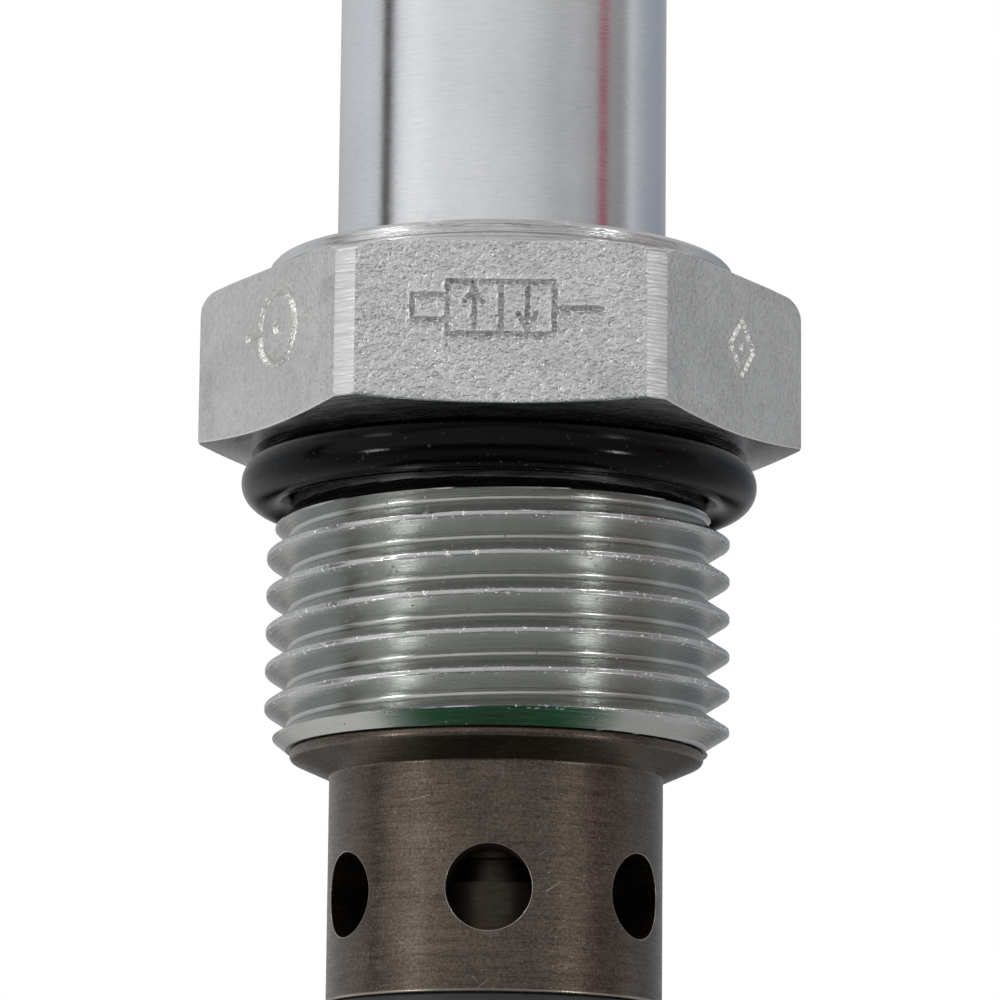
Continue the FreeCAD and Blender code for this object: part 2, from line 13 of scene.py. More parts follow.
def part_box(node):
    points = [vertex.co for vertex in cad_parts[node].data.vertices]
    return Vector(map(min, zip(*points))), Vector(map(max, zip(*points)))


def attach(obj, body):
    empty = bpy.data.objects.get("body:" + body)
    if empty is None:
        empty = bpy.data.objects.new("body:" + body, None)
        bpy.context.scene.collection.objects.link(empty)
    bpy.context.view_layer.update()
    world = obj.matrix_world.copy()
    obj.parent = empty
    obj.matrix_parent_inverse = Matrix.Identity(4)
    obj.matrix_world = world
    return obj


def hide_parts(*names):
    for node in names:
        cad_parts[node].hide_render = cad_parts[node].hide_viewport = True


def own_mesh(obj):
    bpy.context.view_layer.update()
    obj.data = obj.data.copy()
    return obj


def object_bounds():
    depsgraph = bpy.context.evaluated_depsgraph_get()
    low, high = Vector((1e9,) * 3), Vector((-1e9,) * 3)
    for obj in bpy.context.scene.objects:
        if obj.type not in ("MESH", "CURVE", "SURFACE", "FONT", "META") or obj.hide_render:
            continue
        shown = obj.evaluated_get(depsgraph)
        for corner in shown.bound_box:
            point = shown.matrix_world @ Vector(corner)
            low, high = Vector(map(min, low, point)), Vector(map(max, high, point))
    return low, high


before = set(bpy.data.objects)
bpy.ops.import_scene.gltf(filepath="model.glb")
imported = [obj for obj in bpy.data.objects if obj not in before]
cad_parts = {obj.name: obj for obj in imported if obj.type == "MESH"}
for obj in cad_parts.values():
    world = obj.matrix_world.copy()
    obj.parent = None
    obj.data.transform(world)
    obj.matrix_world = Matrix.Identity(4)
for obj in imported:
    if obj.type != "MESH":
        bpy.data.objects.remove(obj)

MM = 0.001
CAGE_R = 7.9375
CAD_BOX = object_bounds()
scene = bpy.context.scene


def node_box(node):
    """The lowest and highest corners of a CAD node."""
    low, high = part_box(node)
    return [v / MM for v in low], [v / MM for v in high]


# ---------------------------------------------------------------- material nodes

class Nodes:
    """Short calls for the nodes of one tree. A value is a number, a vector or another node's output."""

    def __init__(self, tree):
        self.tree = tree

    def new(self, kind, **settings):
        """Adds a node and sets its properties."""
        node = self.tree.nodes.new(kind)
        for key, value in settings.items():
            setattr(node, key, value)
        return node

    def feed(self, socket, value):
        """Links an output to a socket, or sets the socket."""
        if isinstance(value, bpy.types.NodeSocket):
            self.tree.links.new(value, socket)
        else:
            socket.default_value = value

    def fill(self, node, **values):
        """Feeds a node's sockets by name."""
        for name, value in values.items():
            self.feed(node.inputs[name], value)

    def maths(self, operation, a, b=0.0, clamp=False):
        node = self.new("ShaderNodeMath", operation=operation, use_clamp=clamp)
        self.feed(node.inputs[0], a)
        self.feed(node.inputs[1], b)
        return node.outputs[0]

    def times(self, a, b):
        return self.maths("MULTIPLY", a, b)

    def parts(self, vector):
        """The X, Y and Z of a vector."""
        node = self.new("ShaderNodeSeparateXYZ")
        self.feed(node.inputs[0], vector)
        return node.outputs

    def blend(self, fac, first, second, blend_type="MIX"):
        """Mixes two colours, each of them (r, g, b) or an output."""
        node = self.new("ShaderNodeMix", data_type="RGBA", blend_type=blend_type)
        self.feed(node.inputs["Factor"], fac)
        for name, colour in (("A", first), ("B", second)):
            self.feed(node.inputs[name], (*colour, 1) if isinstance(colour, tuple) else colour)
        return node.outputs["Result"]


class Shader(Nodes):
    """A material with one Principled surface. mm is the place on the object in millimetres."""

    def __init__(self, name, colour, metallic, roughness):
        self.material = bpy.data.materials.new(name)
        self.material.use_nodes = True
        super().__init__(self.material.node_tree)
        self.bsdf = self.tree.nodes["Principled BSDF"]
        self.surface("Base Color", (*colour, 1))
        self.surface("Metallic", metallic)
        self.surface("Roughness", roughness)
        self.material.diffuse_color = (*colour, 1)
        place = self.new("ShaderNodeTexCoord").outputs["Object"]
        self.mm = self.maths_vector("MULTIPLY", place, (1000, 1000, 1000))

    def surface(self, name, value):
        """Feeds one of the surface's sockets."""
        self.feed(self.bsdf.inputs[name], value)

    def maths_vector(self, operation, a, b):
        node = self.new("ShaderNodeVectorMath", operation=operation)
        self.feed(node.inputs[0], a)
        self.feed(node.inputs[1], b)
        return node.outputs[1] if operation == "LENGTH" else node.outputs[0]

    def turned(self, around=0.0):
        """Coordinates for marks that run round Z: radius, turn in radians times around, and height."""
        x, y, z = self.parts(self.mm)
        flat = self.new("ShaderNodeCombineXYZ")
        self.feed(flat.inputs[0], x)
        self.feed(flat.inputs[1], y)
        turn = self.maths("ARCTAN2", y, x)
        joined = self.new("ShaderNodeCombineXYZ")
        self.feed(joined.inputs[0], self.maths_vector("LENGTH", flat.outputs[0], (0, 0, 0)))
        self.feed(joined.inputs[1], self.times(turn, around))
        self.feed(joined.inputs[2], z)
        return joined.outputs[0]

    def noise(self, where, scale, detail=2.0, roughness=0.5):
        node = self.new("ShaderNodeTexNoise")
        self.fill(node, Vector=where, Scale=scale, Detail=detail, Roughness=roughness)
        return node.outputs["Fac"]

    def cells(self, where, scale):
        """Distance from the nearest of many scattered points."""
        node = self.new("ShaderNodeTexVoronoi")
        self.fill(node, Vector=where, Scale=scale)
        return node.outputs["Distance"]

    def span(self, value, low, high, to_low=0.0, to_high=1.0):
        """value from low..high to to_low..to_high, held at the ends."""
        node = self.new("ShaderNodeMapRange")
        for socket, number in zip(node.inputs, (value, low, high, to_low, to_high)):
            self.feed(socket, number)
        return node.outputs[0]

    def tint(self, fac, first, second, blend_type="MIX"):
        """Makes the base colour a blend, and returns it so that another tint can go over it."""
        colour = self.blend(fac, first, second, blend_type)
        self.surface("Base Color", colour)
        return colour

    def bump(self, height, depth, under=None):
        """Bump of a depth in millimetres, over another bump if under is given."""
        node = self.new("ShaderNodeBump")
        self.fill(node, Strength=1.0, Distance=depth * MM, Height=height)
        if under is not None:
            self.fill(node, Normal=under)
        self.surface("Normal", node.outputs[0])
        return node.outputs[0]

    def round_the_axis(self, anisotropic):
        """Highlights drawn out across fine lines that run round Z."""
        tangent = self.new("ShaderNodeTangent", direction_type="RADIAL", axis="Z")
        self.surface("Anisotropic", anisotropic)
        self.surface("Anisotropic Rotation", 0.25)
        self.surface("Tangent", tangent.outputs[0])


def scaled(colour, by):
    """A colour made darker or lighter."""
    return tuple(min(1, c * by) for c in colour)


def flecks(m, angle, length, width, floor):
    """Short, straight nicks on a turned surface, at an angle to the horizontal: 1 on a nick, 0 elsewhere."""
    node = m.new("ShaderNodeMapping", vector_type="TEXTURE")
    m.fill(node, Vector=m.turned(8.0), Rotation=(math.radians(angle), 0, 0), Scale=(3.3, length, width))
    return m.span(m.noise(node.outputs[0], 1.0, 0.0), floor, floor + 0.035)


def scratch(m, across, height, angle, length, width):
    """One straight scratch on the cage, at millimetres round from the front and up from the seat."""
    front = -CAGE_R * math.pi / 2
    node = m.new("ShaderNodeMapping", vector_type="POINT")
    centred = m.maths_vector("SUBTRACT", m.turned(CAGE_R), (0, front + across, height))
    m.fill(node, Vector=centred, Rotation=(math.radians(-angle), 0, 0))
    _, y, z = m.parts(node.outputs[0])
    along = m.span(m.maths("ABSOLUTE", y), length * 0.3, length * 0.5, 1.0, 0.0)
    over = m.span(m.maths("ABSOLUTE", z), width * 0.25, width * 0.5, 1.0, 0.0)
    return m.times(along, over)


def stem_metal(name="stem_plated", dull=(0.69, 0.705, 0.735), bright=(0.76, 0.765, 0.775)):
    """Plated tube: fine lines round it, satin, with a few light scuffs."""
    m = Shader(name, dull, 1.0, 0.2)
    rings = m.noise(m.turned(0.8), 12.0, 3.0, 0.65)
    broad = m.noise(m.mm, 0.16, 2.0)
    stains = m.noise(m.mm, 0.9, 4.0, 0.6)
    lines = m.times(m.span(rings, 0.36, 0.66), 0.55)
    nicks = m.maths("MAXIMUM", flecks(m, 72, 0.9, 0.09, 0.80), flecks(m, -8, 1.3, 0.08, 0.81))
    worn = m.maths("ADD", m.times(m.span(broad, 0.35, 0.65), 0.45), lines, clamp=True)
    worn = m.maths("SUBTRACT", worn, m.times(nicks, 0.9))
    m.tint(worn, scaled(dull, 0.97), scaled(bright, 1.02))
    m.surface("Roughness", m.span(stains, 0.35, 0.7, 0.165, 0.20))
    m.round_the_axis(0.6)
    under = m.bump(rings, 0.0045)
    m.bump(m.noise(m.turned(5.0), 3.0, 4.0, 0.7), 0.003, under)
    return m.material


def blasted_metal():
    """Zinc plating over a rough, pitted forging skin, smoother on the flats at the sides. The side flats are painted
    warmer and a little darker for the light on them, and dark dots are painted shade that stands in for shaded pits.
    """
    m = Shader("hex_blasted_zinc", (0.66, 0.67, 0.675), 1.0, 0.5)
    grain = m.noise(m.mm, 3.9, 2.0, 0.62)
    pits = m.span(m.cells(m.mm, 2.4), 0.06, 0.27)
    patch = m.noise(m.mm, 0.33, 3.0, 0.55)
    specks = m.times(m.span(grain, 0.36, 0.58, 0.3, 1.0), m.span(pits, 0.0, 0.8, 0.3, 1.0))
    grime = m.span(m.noise(m.mm, 0.42, 4.0, 0.62), 0.55, 0.70, 0.0, 0.5)
    lightness = m.maths("ADD", m.times(specks, 0.6), m.span(patch, 0.35, 0.68, 0.0, 0.4), clamp=True)
    lightness = m.maths("SUBTRACT", lightness, grime, clamp=True)
    zinc = m.tint(lightness, (0.53, 0.535, 0.535), (0.725, 0.73, 0.73))
    m.surface("Roughness", m.span(grain, 0.3, 0.7, 0.36, 0.46))
    sideways = m.maths("ABSOLUTE", m.parts(m.mm)[0])
    # Painted light: the side flats are tinted warmer and a little darker for the light that falls on them
    zinc = m.tint(m.span(sideways, 7.0, 8.0), zinc, (0.985, 0.965, 0.93), "MULTIPLY")
    # Painted shade: dark dots for shaded pits, strongest on the front flat and fading out across the side flats
    dots = m.span(m.cells(m.mm, 3.9), 0.12, 0.32, 1.0, 0.0)
    dots = m.times(dots, m.span(sideways, 7.4, 12.0, 0.6, 0.1))
    m.tint(dots, zinc, (0.42, 0.42, 0.41), "MULTIPLY")
    rough = m.span(sideways, 7.0, 8.2, 1.0, 0.5)
    under = m.bump(m.times(grain, rough), 0.13)
    m.bump(m.times(pits, rough), 0.06, under)
    return m.material


def turned_zinc(name, lines, depth, roughness, colour=(0.74, 0.745, 0.75)):
    """Zinc over lathe marks, which run round the axis."""
    m = Shader(name, colour, 1.0, roughness)
    rings = m.noise(m.turned(0.9), lines, 2.5, 0.7)
    broad = m.noise(m.mm, 0.5, 3.0)
    m.tint(m.span(broad, 0.35, 0.65), scaled(colour, 0.93), scaled(colour, 1.05))
    m.surface("Roughness", m.span(rings, 0.3, 0.7, roughness * 0.8, roughness * 1.35))
    m.round_the_axis(0.4)
    m.bump(rings, depth)
    return m.material


def ridged_zinc():
    """The hexagon's turned corners: fine ridges one above the other, stronger to the right, with painted highlight on
    their tops and painted shade between them.
    """
    m = Shader("zinc_ridged", (0.5, 0.5, 0.5), 1.0, 0.38)
    ridge_pitch = 0.2
    x, _, z = m.parts(m.mm)
    fine = m.noise(m.turned(0.9), 4.6, 2.5, 0.7)
    wobble = m.times(m.noise(m.mm, 0.9, 2.0), 4.0)
    ridge = m.maths("SINE", m.maths("ADD", m.times(z, 2 * math.pi / ridge_pitch), wobble))
    strength = m.span(x, -7.0, 7.0, 0.05, 0.34)
    height = m.maths("ADD", m.times(ridge, strength), fine)
    # Painted highlight and shade: the colour follows the ridges' height, light on the tops and dark between them
    m.tint(m.span(height, 0.2, 0.85), (0.43, 0.43, 0.43), (0.66, 0.66, 0.655))
    m.surface("Roughness", m.span(fine, 0.3, 0.7, 0.32, 0.5))
    m.round_the_axis(0.4)
    m.bump(height, 0.05)
    return m.material


def thread_zinc():
    """Bright zinc on the thread, nicked along the crests. Low on the flanks it is greyer and slightly green; the
    greying is painted shade, lighter towards the crests.
    """
    m = Shader("thread_zinc", (0.70, 0.72, 0.70), 1.0, 0.26)
    lines = m.noise(m.turned(0.4), 9.0, 3.0, 0.65)
    radius = m.parts(m.turned())[0]
    # Painted shade: the zinc is lighter towards the crests and darker low on the flanks and in the roots
    crest = m.span(radius, 10.72, 11.02)
    grime = m.noise(m.mm, 1.1, 4.0, 0.6)
    lightness = m.maths("ADD", m.times(crest, 0.7), m.span(grime, 0.4, 0.75, 0.0, 0.35))
    lightness = m.maths("ADD", lightness, m.span(lines, 0.38, 0.66, -0.15, 0.3), clamp=True)
    zinc = m.tint(lightness, (0.435, 0.447, 0.425), (0.53, 0.535, 0.53))
    specks = m.span(m.cells(m.mm, 1.5), 0.0, 0.12, 1.0, 0.0)
    chips = m.times(m.span(m.noise(m.mm, 4.5, 1.0), 0.635, 0.69), m.span(radius, 10.85, 11.0))
    m.tint(chips, zinc, (0.95, 0.95, 0.94))
    m.surface("Roughness", m.maths("ADD", m.span(lines, 0.3, 0.7, 0.17, 0.30), m.times(specks, 0.3)))
    m.round_the_axis(0.35)
    under = m.bump(lines, 0.011)
    sunk = m.maths("ADD", m.times(specks, -1.0), m.times(chips, -1.5))
    m.bump(sunk, 0.02, under)
    return m.material


SCRATCHES = [  # across from the front, height, angle in degrees, length, width
    (2.75, -21.4, 34, 1.1, 0.07), (2.25, -18.5, -62, 0.8, 0.06), (-0.5, -25.9, 40, 0.7, 0.06),
    (-0.9, -25.7, -48, 0.5, 0.05), (4.0, -19.0, -70, 1.3, 0.04), (-3.6, -17.3, 12, 1.2, 0.05),
    (-4.6, -23.9, -38, 0.9, 0.05), (9.5, -20.2, 48, 1.2, 0.06), (-12.4, -24.0, -25, 1.0, 0.05),
    (20.5, -18.2, 35, 1.1, 0.05), (17.0, -24.6, -50, 1.2, 0.05),
]


def cage_metal():
    """Heat-treated steel: brown-grey, with horizontal grinding marks, scuffs and lighter handling scratches."""
    colour, roughness = (0.114, 0.091, 0.074), 0.34
    m = Shader("cage_hardened", colour, 1.0, roughness)
    rings = m.noise(m.turned(1.6), 7.5, 3.0, 0.7)
    bands = m.noise(m.turned(0.6), 4.0, 4.0, 0.75)
    cloud = m.noise(m.mm, 0.45, 4.0, 0.6)
    grain = m.noise(m.mm, 8.5, 2.0, 0.6)
    fine = m.noise(m.turned(0.3), 13.0, 2.0, 0.6)
    wear = m.maths("MAXIMUM", flecks(m, 32, 0.9, 0.06, 0.85), flecks(m, -57, 0.7, 0.05, 0.865))
    wear = m.maths("MAXIMUM", wear, m.times(flecks(m, 4, 2.6, 0.05, 0.78), 0.25))
    for row in SCRATCHES:
        wear = m.maths("MAXIMUM", wear, scratch(m, *row))
    dust = m.span(m.noise(m.mm, 8.0, 1.0), 0.62, 0.75)
    wear = m.maths("MAXIMUM", wear, m.times(dust, m.span(cloud, 0.42, 0.62, 0.15, 0.8)))
    tone = m.maths("ADD", m.span(bands, 0.3, 0.7, 0.0, 0.4), m.span(cloud, 0.35, 0.7, 0.0, 0.3))
    marks = m.maths("ADD", m.span(grain, 0.34, 0.66, -0.15, 0.5), m.span(fine, 0.34, 0.5, -0.3, 0.0))
    brown = m.tint(m.maths("ADD", tone, marks, clamp=True), scaled(colour, 0.58), scaled(colour, 1.45))
    m.tint(m.times(wear, 0.5), brown, (0.32, 0.30, 0.27))
    m.surface("Roughness", m.span(rings, 0.3, 0.72, roughness * 0.75, roughness * 1.3))
    m.round_the_axis(0.45)
    under = m.bump(m.maths("ADD", rings, m.times(grain, 0.6)), 0.007)
    m.bump(m.times(wear, -1.0), 0.006, under)
    return m.material


def rubber():
    """Black nitrile: smooth, slightly oily, with a little dust."""
    m = Shader("seal_nitrile", (0.006, 0.006, 0.0065), 0.0, 0.2)
    fine = m.noise(m.mm, 6.0, 3.0, 0.6)
    smears = m.noise(m.mm, 0.7, 3.0, 0.6)
    dust = m.span(m.noise(m.mm, 5.0, 0.0), 0.76, 0.82)
    m.tint(m.times(dust, 0.5), (0.0008, 0.0008, 0.0009), (0.05, 0.05, 0.05))
    m.surface("Roughness", m.span(smears, 0.35, 0.7, 0.10, 0.17))
    m.surface("Specular IOR Level", 0.11)
    m.bump(fine, 0.006)
    return m.material


def hard_plastic():
    """The backup rings: dark, dull plastic with a fine grain."""
    m = Shader("backup_ring_plastic", (0.016, 0.016, 0.017), 0.0, 0.45)
    fine = m.noise(m.mm, 4.0, 3.0)
    m.surface("Roughness", m.span(fine, 0.3, 0.7, 0.35, 0.55))
    m.tint(m.span(fine, 0.3, 0.7), (0.013, 0.013, 0.014), (0.024, 0.024, 0.025))
    m.bump(fine, 0.004)
    return m.material


def inner_metal(name, colour, roughness):
    """A turned and ground inner part."""
    m = Shader(name, colour, 1.0, roughness)
    rings = m.noise(m.turned(0.8), 6.0, 2.0, 0.6)
    cloud = m.noise(m.mm, 0.6, 3.0)
    m.tint(m.span(cloud, 0.35, 0.65), scaled(colour, 0.85), scaled(colour, 1.12))
    m.surface("Roughness", m.span(rings, 0.3, 0.7, roughness * 0.8, roughness * 1.3))
    m.bump(rings, 0.004)
    return m.material


STEM = stem_metal()
BLASTED = blasted_metal()
TURNED = turned_zinc("zinc_turned", 6.0, 0.008, 0.26)
# Painted shade: a darker copy of the turned zinc for the neck and the seat face under the hexagon
NECK_PAINTED_SHADE = turned_zinc("zinc_neck_painted_shade", 6.0, 0.004, 0.24, (0.38, 0.38, 0.385))
RINGS = turned_zinc("zinc_collar_rings", 7.0, 0.05, 0.25, (0.62, 0.62, 0.62))
RIDGED = ridged_zinc()
THREAD = thread_zinc()
CAGE = cage_metal()
RUBBER = rubber()
PLASTIC = hard_plastic()
# Painted shade: the inner ground parts are made nearly black, for the shade inside the cage where they show through the
# ports
INNER_PAINTED_SHADE = inner_metal("spool_ground_painted_shade", (0.05, 0.041, 0.033), 0.34)
# Partly wear, partly painted highlight: lighter steel for the cage's rounded edges and the ports' edges
EDGE_WEAR_AND_HIGHLIGHT = inner_metal("cage_edge_wear_and_highlight", (0.30, 0.265, 0.23), 0.3)
IRON = inner_metal("armature_plated", (0.62, 0.63, 0.65), 0.3)
WIRE = inner_metal("spring_wire", (0.45, 0.46, 0.48), 0.25)
BRASS = inner_metal("shim_brass", (0.72, 0.55, 0.27), 0.3)
NONMAGNETIC = stem_metal("ring_stainless", (0.60, 0.605, 0.62), (0.64, 0.645, 0.655))


# ---------------------------------------------------------------- mesh tools

FILLET_STEPS = 4
LATHE_COLUMNS = 192


def circle(count):
    """Equal turns round a circle, in radians."""
    return np.linspace(0, 2 * math.pi, count, endpoint=False)


def fillet(corners, radii, support=0.03):
    """Rounds the corners of a closed (radius, height) outline, with a support point on each side of an arc.

    Returns the points and, for each, the number of the side that starts there.
    """
    count = len(corners)
    points, sides = [], []
    for i in range(count):
        here = np.array(corners[i], float)
        before = np.array(corners[i - 1], float) - here
        after = np.array(corners[(i + 1) % count], float) - here
        la, lb = np.linalg.norm(before), np.linalg.norm(after)
        ua, ub = before / la, after / lb
        angle = math.acos(max(-1, min(1, float(ua @ ub))))
        radius = radii[i]
        if radius <= 0 or abs(math.pi - angle) < 0.02:
            points.append(here)
            sides.append(i)
            continue
        setback = min(radius / math.tan(angle / 2), la * 0.42, lb * 0.42)
        radius = setback * math.tan(angle / 2)
        centre = here + (ua + ub) / np.linalg.norm(ua + ub) * (radius / math.sin(angle / 2))
        start, end = here + ua * setback, here + ub * setback
        a0 = math.atan2(*(start - centre)[::-1])
        sweep = (math.atan2(*(end - centre)[::-1]) - a0 + math.pi) % (2 * math.pi) - math.pi
        near = min(support, (la - setback) * 0.3)
        points.append(here + ua * (setback + near))
        sides.append((i - 1) % count)
        for k in range(FILLET_STEPS + 1):
            a = a0 + sweep * k / FILLET_STEPS
            points.append(centre + radius * np.array([math.cos(a), math.sin(a)]))
            sides.append((i - 1) % count if k < FILLET_STEPS / 2 else i)
        near = min(support, (lb - setback) * 0.3)
        points.append(here + ub * (setback + near))
        sides.append(i)
    return np.array(points), sides


def subdivided(points, sides, longest):
    """Divides an outline's stretches into parts of about the longest length."""
    out, kept = [], []
    count = len(points)
    for i in range(count):
        a, b = points[i], points[(i + 1) % count]
        pieces = max(1, int(np.linalg.norm(b - a) / longest))
        for k in range(pieces):
            out.append(a + (b - a) * k / pieces)
            kept.append(sides[i])
    return np.array(out), kept


def split_side(points, sides, side, pieces):
    """Divides the longest stretch of one side of an outline into equal pieces."""
    spans = [np.linalg.norm(b - a) if s == side else 0 for a, b, s in zip(points, np.roll(points, -1, axis=0), sides)]
    i = int(np.argmax(spans))
    a, b = points[i], points[i + 1]
    extra = [a + (b - a) * k / pieces for k in range(1, pieces)]
    return np.vstack([points[:i + 1], extra, points[i + 1:]]), sides[:i + 1] + [side] * (pieces - 1) + sides[i + 1:]


def open_mesh(name, vertices, faces, indices=None, join=1e-8):
    """A mesh, and a bmesh of it in which points nearer than join, in metres, are one."""
    mesh = bpy.data.meshes.new(name)
    mesh.from_pydata((np.asarray(vertices) * MM).tolist(), [], faces)
    mesh.polygons.foreach_set("material_index", indices or [0] * len(faces))
    work = bmesh.new()
    work.from_mesh(mesh)
    bmesh.ops.remove_doubles(work, verts=work.verts, dist=join)
    bmesh.ops.dissolve_degenerate(work, edges=work.edges, dist=1e-8)
    return mesh, work


def close_mesh(name, mesh, work, materials, sharp_deg):
    """The object of a bmesh, smooth but for edges that turn more than sharp_deg."""
    bmesh.ops.recalc_face_normals(work, faces=work.faces)
    limit = math.radians(sharp_deg)
    for face in work.faces:
        face.smooth = True
    for edge in work.edges:
        edge.smooth = len(edge.link_faces) == 2 and edge.calc_face_angle(0.0) < limit
    work.to_mesh(mesh)
    work.free()
    for material in materials:
        mesh.materials.append(material)
    made = bpy.data.objects.new(name, mesh)
    scene.collection.objects.link(made)
    return made


def object_from(name, vertices, faces, materials, indices=None, sharp_deg=26.0):
    """A mesh object from vertices, faces and each face's place in the list of materials."""
    mesh, work = open_mesh(name, vertices, faces, indices)
    return close_mesh(name, mesh, work, materials, sharp_deg)


def wrap_grid(rows, columns, first=0):
    """Quads over a grid that closes both ways."""
    r = np.arange(rows)[:, None]
    c = np.arange(columns)[None, :]
    nr, nc = (r + 1) % rows, (c + 1) % columns
    quads = np.stack([r * columns + c, r * columns + nc, nr * columns + nc, nr * columns + c], axis=-1)
    return (quads.reshape(-1, 4) + first).tolist()


def revolved(points, turn):
    """The vertices of a (radius, height) outline at each turn round Z, row by row."""
    r, z = points[:, 0][:, None], points[:, 1][:, None]
    return np.stack([r * np.cos(turn), r * np.sin(turn), z + 0 * turn], axis=-1).reshape(-1, 3)


def lathe(name, corners, radii, material, longest=None):
    """A turned solid from a closed (radius, height) outline."""
    points, sides = fillet(corners, radii)
    if longest:
        points, sides = subdivided(points, sides, longest)
    return object_from(name, revolved(points, circle(LATHE_COLUMNS)), wrap_grid(len(points), LATHE_COLUMNS), [material])


def settle(made, body, slot, *stands_for):
    """Puts a piece on its body and hides the CAD nodes that it stands for. The slot is not used."""
    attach(made, body)
    if stands_for:
        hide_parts(*stands_for)


# ---------------------------------------------------------------- hexagon and collar

HEX_FLATS = 25.4
HEX_CORNER = 14.5  # radius to which the corners are turned
HEX_FRONT_CORNER = 14.36
WASHER = 11.87  # radius of the washer face under the hexagon
COLLAR = 11.25
HEX_LOW, HEX_HIGH, HEX_TOP = 0.6, 6.9, 8.04
HEX_ROUND = 0.95
HEX_SLOPE = 0.094
NECK, NECK_END = 9.85, -2.7
BODY_BORE, BORE_END = 7.7, 9.25
WALL_ROWS = 112
MARKED_COLUMNS, PLAIN_COLUMNS, CORNER_COLUMNS = 210, 28, 8
MARKED = {-1: "left", 0: "front", 1: "right"}  # sixths of a turn from the flat that faces -Y


def ring_of_dots(x, z, radius, count):
    return [(x + radius * math.cos(a), z + radius * math.sin(a)) for a in circle(count)]


def dots_along(corners, gap=0.19):
    """Punch dots along a polyline."""
    dots = []
    for (x0, z0), (x1, z1) in zip(corners, corners[1:]):
        count = max(1, round(math.hypot(x1 - x0, z1 - z0) / gap))
        dots += [(x0 + (x1 - x0) * k / count, z0 + (z1 - z0) * k / count) for k in range(count)]
    return dots + [corners[-1]]


def flow_symbol(x, z, size):
    """The drawing symbol of a two-position valve: a coil box, two boxes with arrows and a line.

    It has no letters or figures.
    """
    dots = []
    for box, way in ((0, 1), (1, -1)):
        left, middle = x + box * size, x + (box + 0.5) * size
        dots += dots_along([(left, z), (left + size, z), (left + size, z + size), (left, z + size), (left, z)])
        tip, barb, tail = (z + size * (0.5 + way * part) for part in (0.38, 0.12, -0.38))
        dots += dots_along([(middle, tail), (middle, tip)])
        dots += dots_along([(middle - size * 0.17, barb), (middle, tip), (middle + size * 0.17, barb)])
    coil, upper, lower = x - size * 0.66, z + size * 0.74, z + size * 0.26
    dots += dots_along([(x, upper), (coil, upper), (coil, lower), (x, lower)])
    return dots + dots_along([(x + size * 2, z + size * 0.5), (x + size * 2.9, z + size * 0.5)])


# Each mark's dots, as places across and up its flat, and the width and depth of a dot
MARKS = {
    "front": (flow_symbol(-2.45, 3.4, 2.45), 0.13, 0.16),
    "left": (ring_of_dots(1.1, 4.8, 1.75, 60) + ring_of_dots(1.1, 4.8, 0.14, 6)
             + dots_along([(-1.9, 4.8), (-0.9, 4.8)], 0.12) + dots_along([(3.1, 4.8), (4.1, 4.8)], 0.12), 0.24, 0.17),
    "right": (dots_along([(0.7, 5.7), (1.9, 4.4), (0.7, 3.1), (-0.5, 4.4), (0.7, 5.7)], 0.14) + [(0.7, 4.4)],
              0.19, 0.14),
}


def facing(sixth):
    """The way that a flat faces, in degrees."""
    return -90 + 60 * sixth


def turned_to(corner):
    """Radius of the corner that follows a flat: the two beside the front flat are turned down further."""
    return HEX_FRONT_CORNER if corner in (-1, 0) else HEX_CORNER


def hex_columns():
    """Angles round the hexagon, each with the sixth of a turn that it belongs to and whether it's on a flat."""
    columns = []
    for sixth in range(-1, 5):
        count = MARKED_COLUMNS if sixth in MARKED else PLAIN_COLUMNS
        before, after = (math.acos(HEX_FLATS / 2 / turned_to(corner)) for corner in (sixth - 1, sixth))
        first, last = -HEX_FLATS / 2 * math.tan(before), HEX_FLATS / 2 * math.tan(after)
        for k in range(count):
            s = first + (last - first) * k / count
            columns.append((facing(sixth) + math.degrees(math.atan2(s, HEX_FLATS / 2)), sixth, True))
        after = math.degrees(after)
        for k in range(CORNER_COLUMNS):
            columns.append((facing(sixth) + after + (60 - 2 * after) * k / CORNER_COLUMNS, sixth, False))
    return columns


def hex_radius(degrees, sixth, on_flat):
    off = math.radians(degrees - facing(sixth))
    return HEX_FLATS / 2 / math.cos(off) if on_flat else turned_to(sixth)


def hex_crown(r):
    """Height of the hexagon's top at a radius: nearly flat, and rolled over at the corners."""
    cone = HEX_TOP - HEX_SLOPE * (r - COLLAR)
    past = max(0.0, r - HEX_CORNER + HEX_ROUND)
    return min(cone, HEX_HIGH + math.sqrt(max(0.0, HEX_ROUND ** 2 - past ** 2)))


# The outline's sides are numbered from its first corner, at the neck's end: the last ones of some stretches
NECK_SIDE, WALL_SIDE, ROLLED_SIDE, CROWN_SIDE, RINGS_SIDE = 2, 4, 6, 9, 17
HEX_RADII = [0, 0, 0.12, 0.08, 0.12, 0.30, 0, 0, 0, 0, 0.10, 0,
             0, 0, 0, 0.03, 0.03, 0.03, 0.05, 0, 0, 0, 0.08, 0.03]
HEX_MATERIALS = [BLASTED, RIDGED, TURNED, RINGS, NECK_PAINTED_SHADE]


